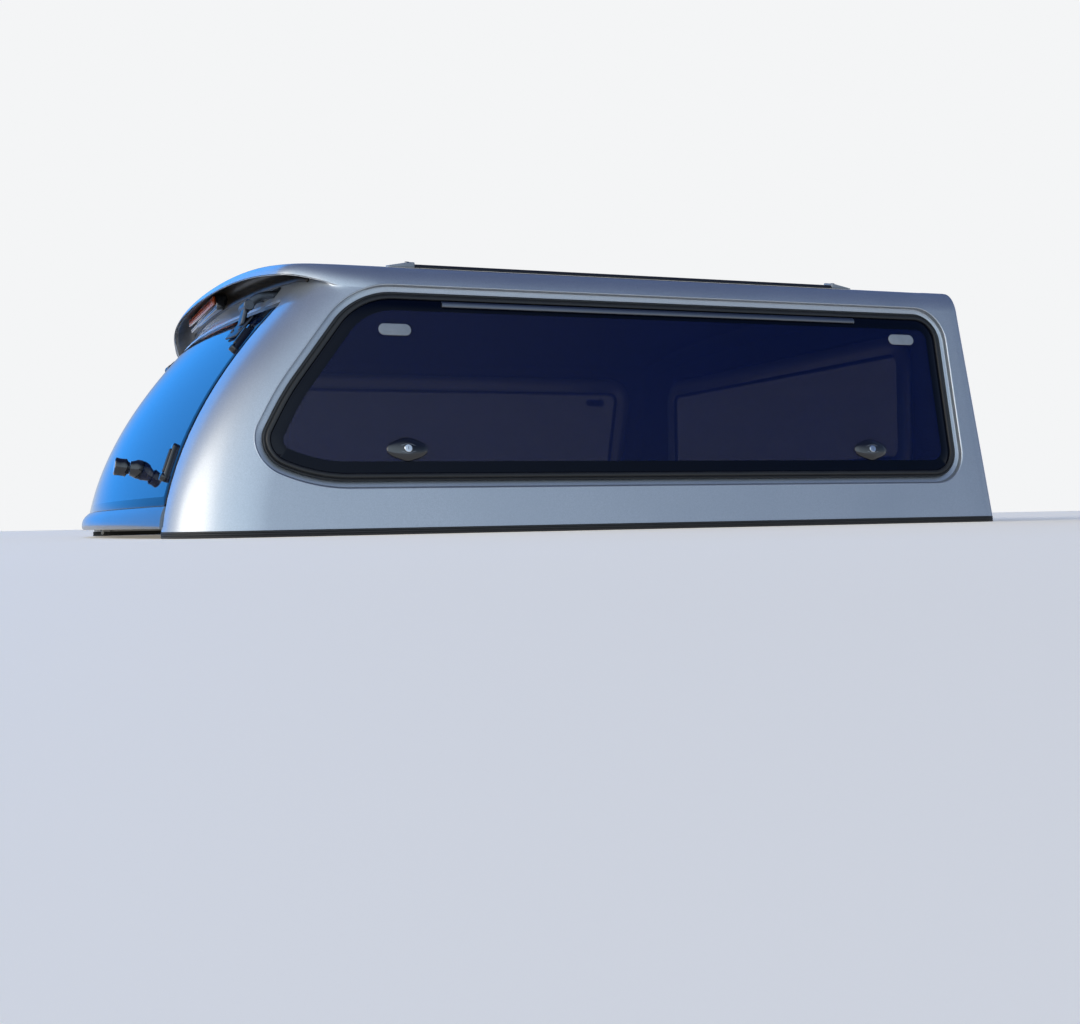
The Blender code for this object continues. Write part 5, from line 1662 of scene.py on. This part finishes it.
@dataclass
class RoofTracks:
    """Low slotted tracks near both edges of the roof, with end caps."""

    x: float = 0.7155
    width: float = 34 * MM
    height: float = 7 * MM
    rear: float = -0.385
    front: float = 0.665
    cap: float = 50 * MM

    def build(self) -> None:
        """Make both tracks and their caps."""
        slope = self.slope()
        seat_z = FORM.roof_z(self.x) + FORM.gap
        half, high = self.width / 2, self.height
        flank = [(half, high * 0.35), (half * 0.80, high * 0.85), (half * 0.66, high),
                 (6 * MM, high), (6 * MM, high - 1.2 * MM), (8 * MM, high - 1.4 * MM),
                 (8 * MM, high - 5 * MM)]
        outline = [(-half, 0.0), (half, 0.0)] + flank + [(-x, z) for x, z in reversed(flank)]
        length = self.front - self.rear - 2 * self.cap - 2 * FORM.gap
        for side, word in SIDES:
            turn = Matrix.Rotation(side * slope, 4, "Y")
            base = Matrix.Translation((side * self.x, 0.0, seat_z)) @ turn
            body = extruded(outline, length)
            bevelled(body, lengthwise(body, length / 2), 0.5 * MM, 2)
            moved(body, base @ Matrix.Translation((0.0, (self.front + self.rear) / 2, 0.0)))
            piece("slotted_track_" + word, body, [BLACK_NYLON], Body.CANOPY,
                  ["roof_track_" + word])
            for end, y, heading in (("rear", self.rear, -1), ("front", self.front, 1)):
                self.build_cap(base, end + "_" + word, y, heading)

    def slope(self) -> float:
        """Angle by which the roof falls outwards under a track."""
        step = 1 * MM
        return math.atan((FORM.roof_z(self.x) - FORM.roof_z(self.x + step)) / step)

    def build_cap(self, base: Matrix, name: str, y: float, heading: int) -> None:
        """Tapered end cap with a screw in it."""
        high, half = self.height + 4 * MM, self.width / 2
        bm = slid(block((self.width + 1 * MM, self.cap, high), 2 * MM), 0.0, 0.0, high / 2)
        for vertex in bm.verts:
            share = 0.5 + vertex.co.y / self.cap
            fall = soft_step((share - 0.35) / 0.65)
            vertex.co.z *= mix(1.0, 0.22, fall)
            vertex.co.x *= mix(1.0, 0.82, fall)
        turn = Matrix.Rotation(0.0 if heading > 0 else math.pi, 4, "Z")
        head = turned([(0, 0), (4.5, 0), (4.3, 1.2), (2.4, 1.6), (2.0, 0.6), (0, 0.6)], 24)
        slid(head, 0.0, -half * 0.8, high - 0.9 * MM)
        whole = moved(joined([bm, tinted(head, 1)]), turn)
        middle = y - heading * self.cap / 2
        moved(whole, base @ Matrix.Translation((0.0, middle, 0.0)))
        # The screw head wears the same darkened zinc, with its painted shade.
        piece("end_cap_" + name, whole, [GREY_ACETAL, DARK_ZINC_WITH_PAINTED_SHADE], Body.CANOPY,
              ["track_cap_" + name])


@dataclass
class Studio:
    """Floor, lights and the camera at the photograph's place."""

    width_px: float = 1080.0
    focal_px: float = 1432.0
    azimuth: float = 1.19377
    pitch: float = 0.006
    roll: float = -0.01888
    place: Triple = (3.407, -1.1415, 0.020)
    backdrop: str = "f4f5f6"
    sky: tuple[tuple[float, str], ...] = (
        (0.05, "cddaea"), (0.16, "a4b7d2"), (0.32, "8299bd"), (0.48, "64799f"), (0.70, "4e6293"))
    glows: tuple[tuple[Triple, float, float, str, float], ...] = (
        ((0.75, -0.63, -0.08), 0.10, 0.87, "d3e6f7", 1.9),
        ((-0.72, 0.66, 0.25), 0.70, 0.95, "4f6494", 0.8),
        ((-0.88, -0.31, 0.36), 0.87, 0.955, "3a90e6", 2.2),
        ((0.02, -0.955, 0.29), 0.85, 0.99, "fffaf2", 4.0))

    def build(self) -> None:
        """Make the floor, the light and the camera."""
        self.build_floor()
        self.build_world()
        self.build_lights()
        self.build_camera()
        bpy.context.scene.view_settings.view_transform = "Standard"

    def build_floor(self) -> None:
        """Plain pale floor, just under the gasket."""
        bm = bmesh.new()
        bmesh.ops.create_grid(bm, x_segments=1, y_segments=1, size=60.0)
        slid(bm, 0.0, 0.0, -0.5 * MM)
        floor = Finish("plain_studio_floor", "", "f4ebdd", "f7efe2", 0.8, grain_mm=30.0,
                       grain_depth_mm=0.01, cloud_mm=900.0, glow=0.22)
        solid_of("studio_floor", bm, [floor])

    @staticmethod
    def glow(tree: bpy.types.NodeTree, towards: Sequence[float], start: float,
             end: float) -> bpy.types.NodeSocket:
        """Soft share of the sky round one direction.

        Args:
            tree: The world's node tree.
            towards: Direction of the glow.
            start: Cosine at which it begins.
            end: Cosine at which it is full.
        """
        where = add_node(tree, "ShaderNodeTexCoord").outputs["Generated"]
        dot = add_node(tree, "ShaderNodeVectorMath", {
            0: where, 1: Vector(towards).normalized()}, operation="DOT_PRODUCT")
        share = add_node(tree, "ShaderNodeMapRange", {
            "Value": dot.outputs["Value"], "From Min": start, "From Max": end},
            interpolation_type="SMOOTHSTEP")
        return share.outputs["Result"]

    def build_world(self) -> None:
        """Soft sky for the light and the gloss, before a plain white backdrop."""
        world = bpy.data.worlds.new("studio_sky")
        bpy.context.scene.world = world
        world.use_nodes = True
        tree = world.node_tree
        tree.nodes.clear()
        where = add_node(tree, "ShaderNodeTexCoord").outputs["Generated"]
        split = add_node(tree, "ShaderNodeSeparateXYZ", {"Vector": where})
        ramp = add_node(tree, "ShaderNodeValToRGB", {"Fac": split.outputs["Z"]})
        stops = ramp.color_ramp.elements
        stops[0].position, stops[0].color = 0.0, linear("dbe4ee")
        stops[1].position, stops[1].color = 1.0, linear("46578a")
        for position, code in self.sky:
            stops.new(position).color = linear(code)
        colour = ramp.outputs["Color"]
        for towards, start, end, code, gain in self.glows:
            share = self.glow(tree, towards, start, end)
            shade = [value * gain for value in linear(code)[:3]] + [1.0]
            blend = add_node(tree, "ShaderNodeMix", {
                "Factor": share, 6: colour, 7: shade}, data_type="RGBA")
            colour = blend.outputs[2]
        light = add_node(tree, "ShaderNodeBackground", {"Color": colour, "Strength": 1.0})
        plain = add_node(tree, "ShaderNodeBackground", {
            "Color": linear(self.backdrop), "Strength": 1.0})
        ray = add_node(tree, "ShaderNodeLightPath").outputs["Is Camera Ray"]
        both = add_node(tree, "ShaderNodeMixShader", {
            0: ray, 1: light.outputs["Background"], 2: plain.outputs["Background"]})
        add_node(tree, "ShaderNodeOutputWorld", {"Surface": both.outputs["Shader"]})

    @staticmethod
    def add_lamp(name: str, place: Sequence[float], size: float, watts: float, code: str,
                 target: Sequence[float] = (0.3, -0.3, 0.3)) -> None:
        """Add one soft round lamp that faces the canopy."""
        data = bpy.data.lights.new(name, "AREA")
        data.shape = "DISK"
        data.size = size
        data.energy = watts
        data.color = linear(code)[:3]
        lamp = linked(name, data)
        lamp.location = place
        lamp.rotation_mode = "QUATERNION"
        away = Vector(target) - Vector(place)
        lamp.rotation_quaternion = away.to_track_quat("-Z", "Y")

    def build_lights(self) -> None:
        """Large soft lamp behind the canopy."""
        self.add_lamp("rear_softbox", (0.3, -6.5, 2.3), 4.0, 25.0, "fffaf2")

    def build_camera(self) -> None:
        """Camera at the photograph's viewing angle, just over the floor."""
        turn, pitch = self.azimuth, self.pitch
        ahead = Vector((-math.sin(turn) * math.cos(pitch), math.cos(turn) * math.cos(pitch),
                        math.sin(pitch)))
        right = ahead.cross(Vector((0, 0, 1))).normalized()
        up = right.cross(ahead)
        right_rolled = right * math.cos(self.roll) + up * math.sin(self.roll)
        up_rolled = up * math.cos(self.roll) - right * math.sin(self.roll)
        data = bpy.data.cameras.new("viewpoint")
        data.sensor_width = 36.0
        data.lens = self.focal_px / self.width_px * data.sensor_width
        data.clip_start = 1 * MM
        camera = linked("viewpoint", data)
        aim = axes(right_rolled, up_rolled, -ahead)
        camera.matrix_world = Matrix.Translation(self.place) @ aim
        bpy.context.scene.camera = camera


def main() -> None:
    """Build the canopy piece by piece."""
    logging.basicConfig(level=logging.INFO, format="%(message)s")
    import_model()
    Studio().build()
    shell = Shell()
    shell.build()
    for face in (Face.RIGHT, Face.LEFT):
        SideWindow(face).build()
    SideWindow(Face.RIGHT).build_pane(FRONT_OPENING, "front", "front_window_seal",
                                      "front_window_glass")
    RearDoor().build()
    Hinges().build()
    VisorFittings().build(shell)
    RoofTracks().build()
    BaseGaskets().build(shell)


if __name__ == "__main__":
    main()
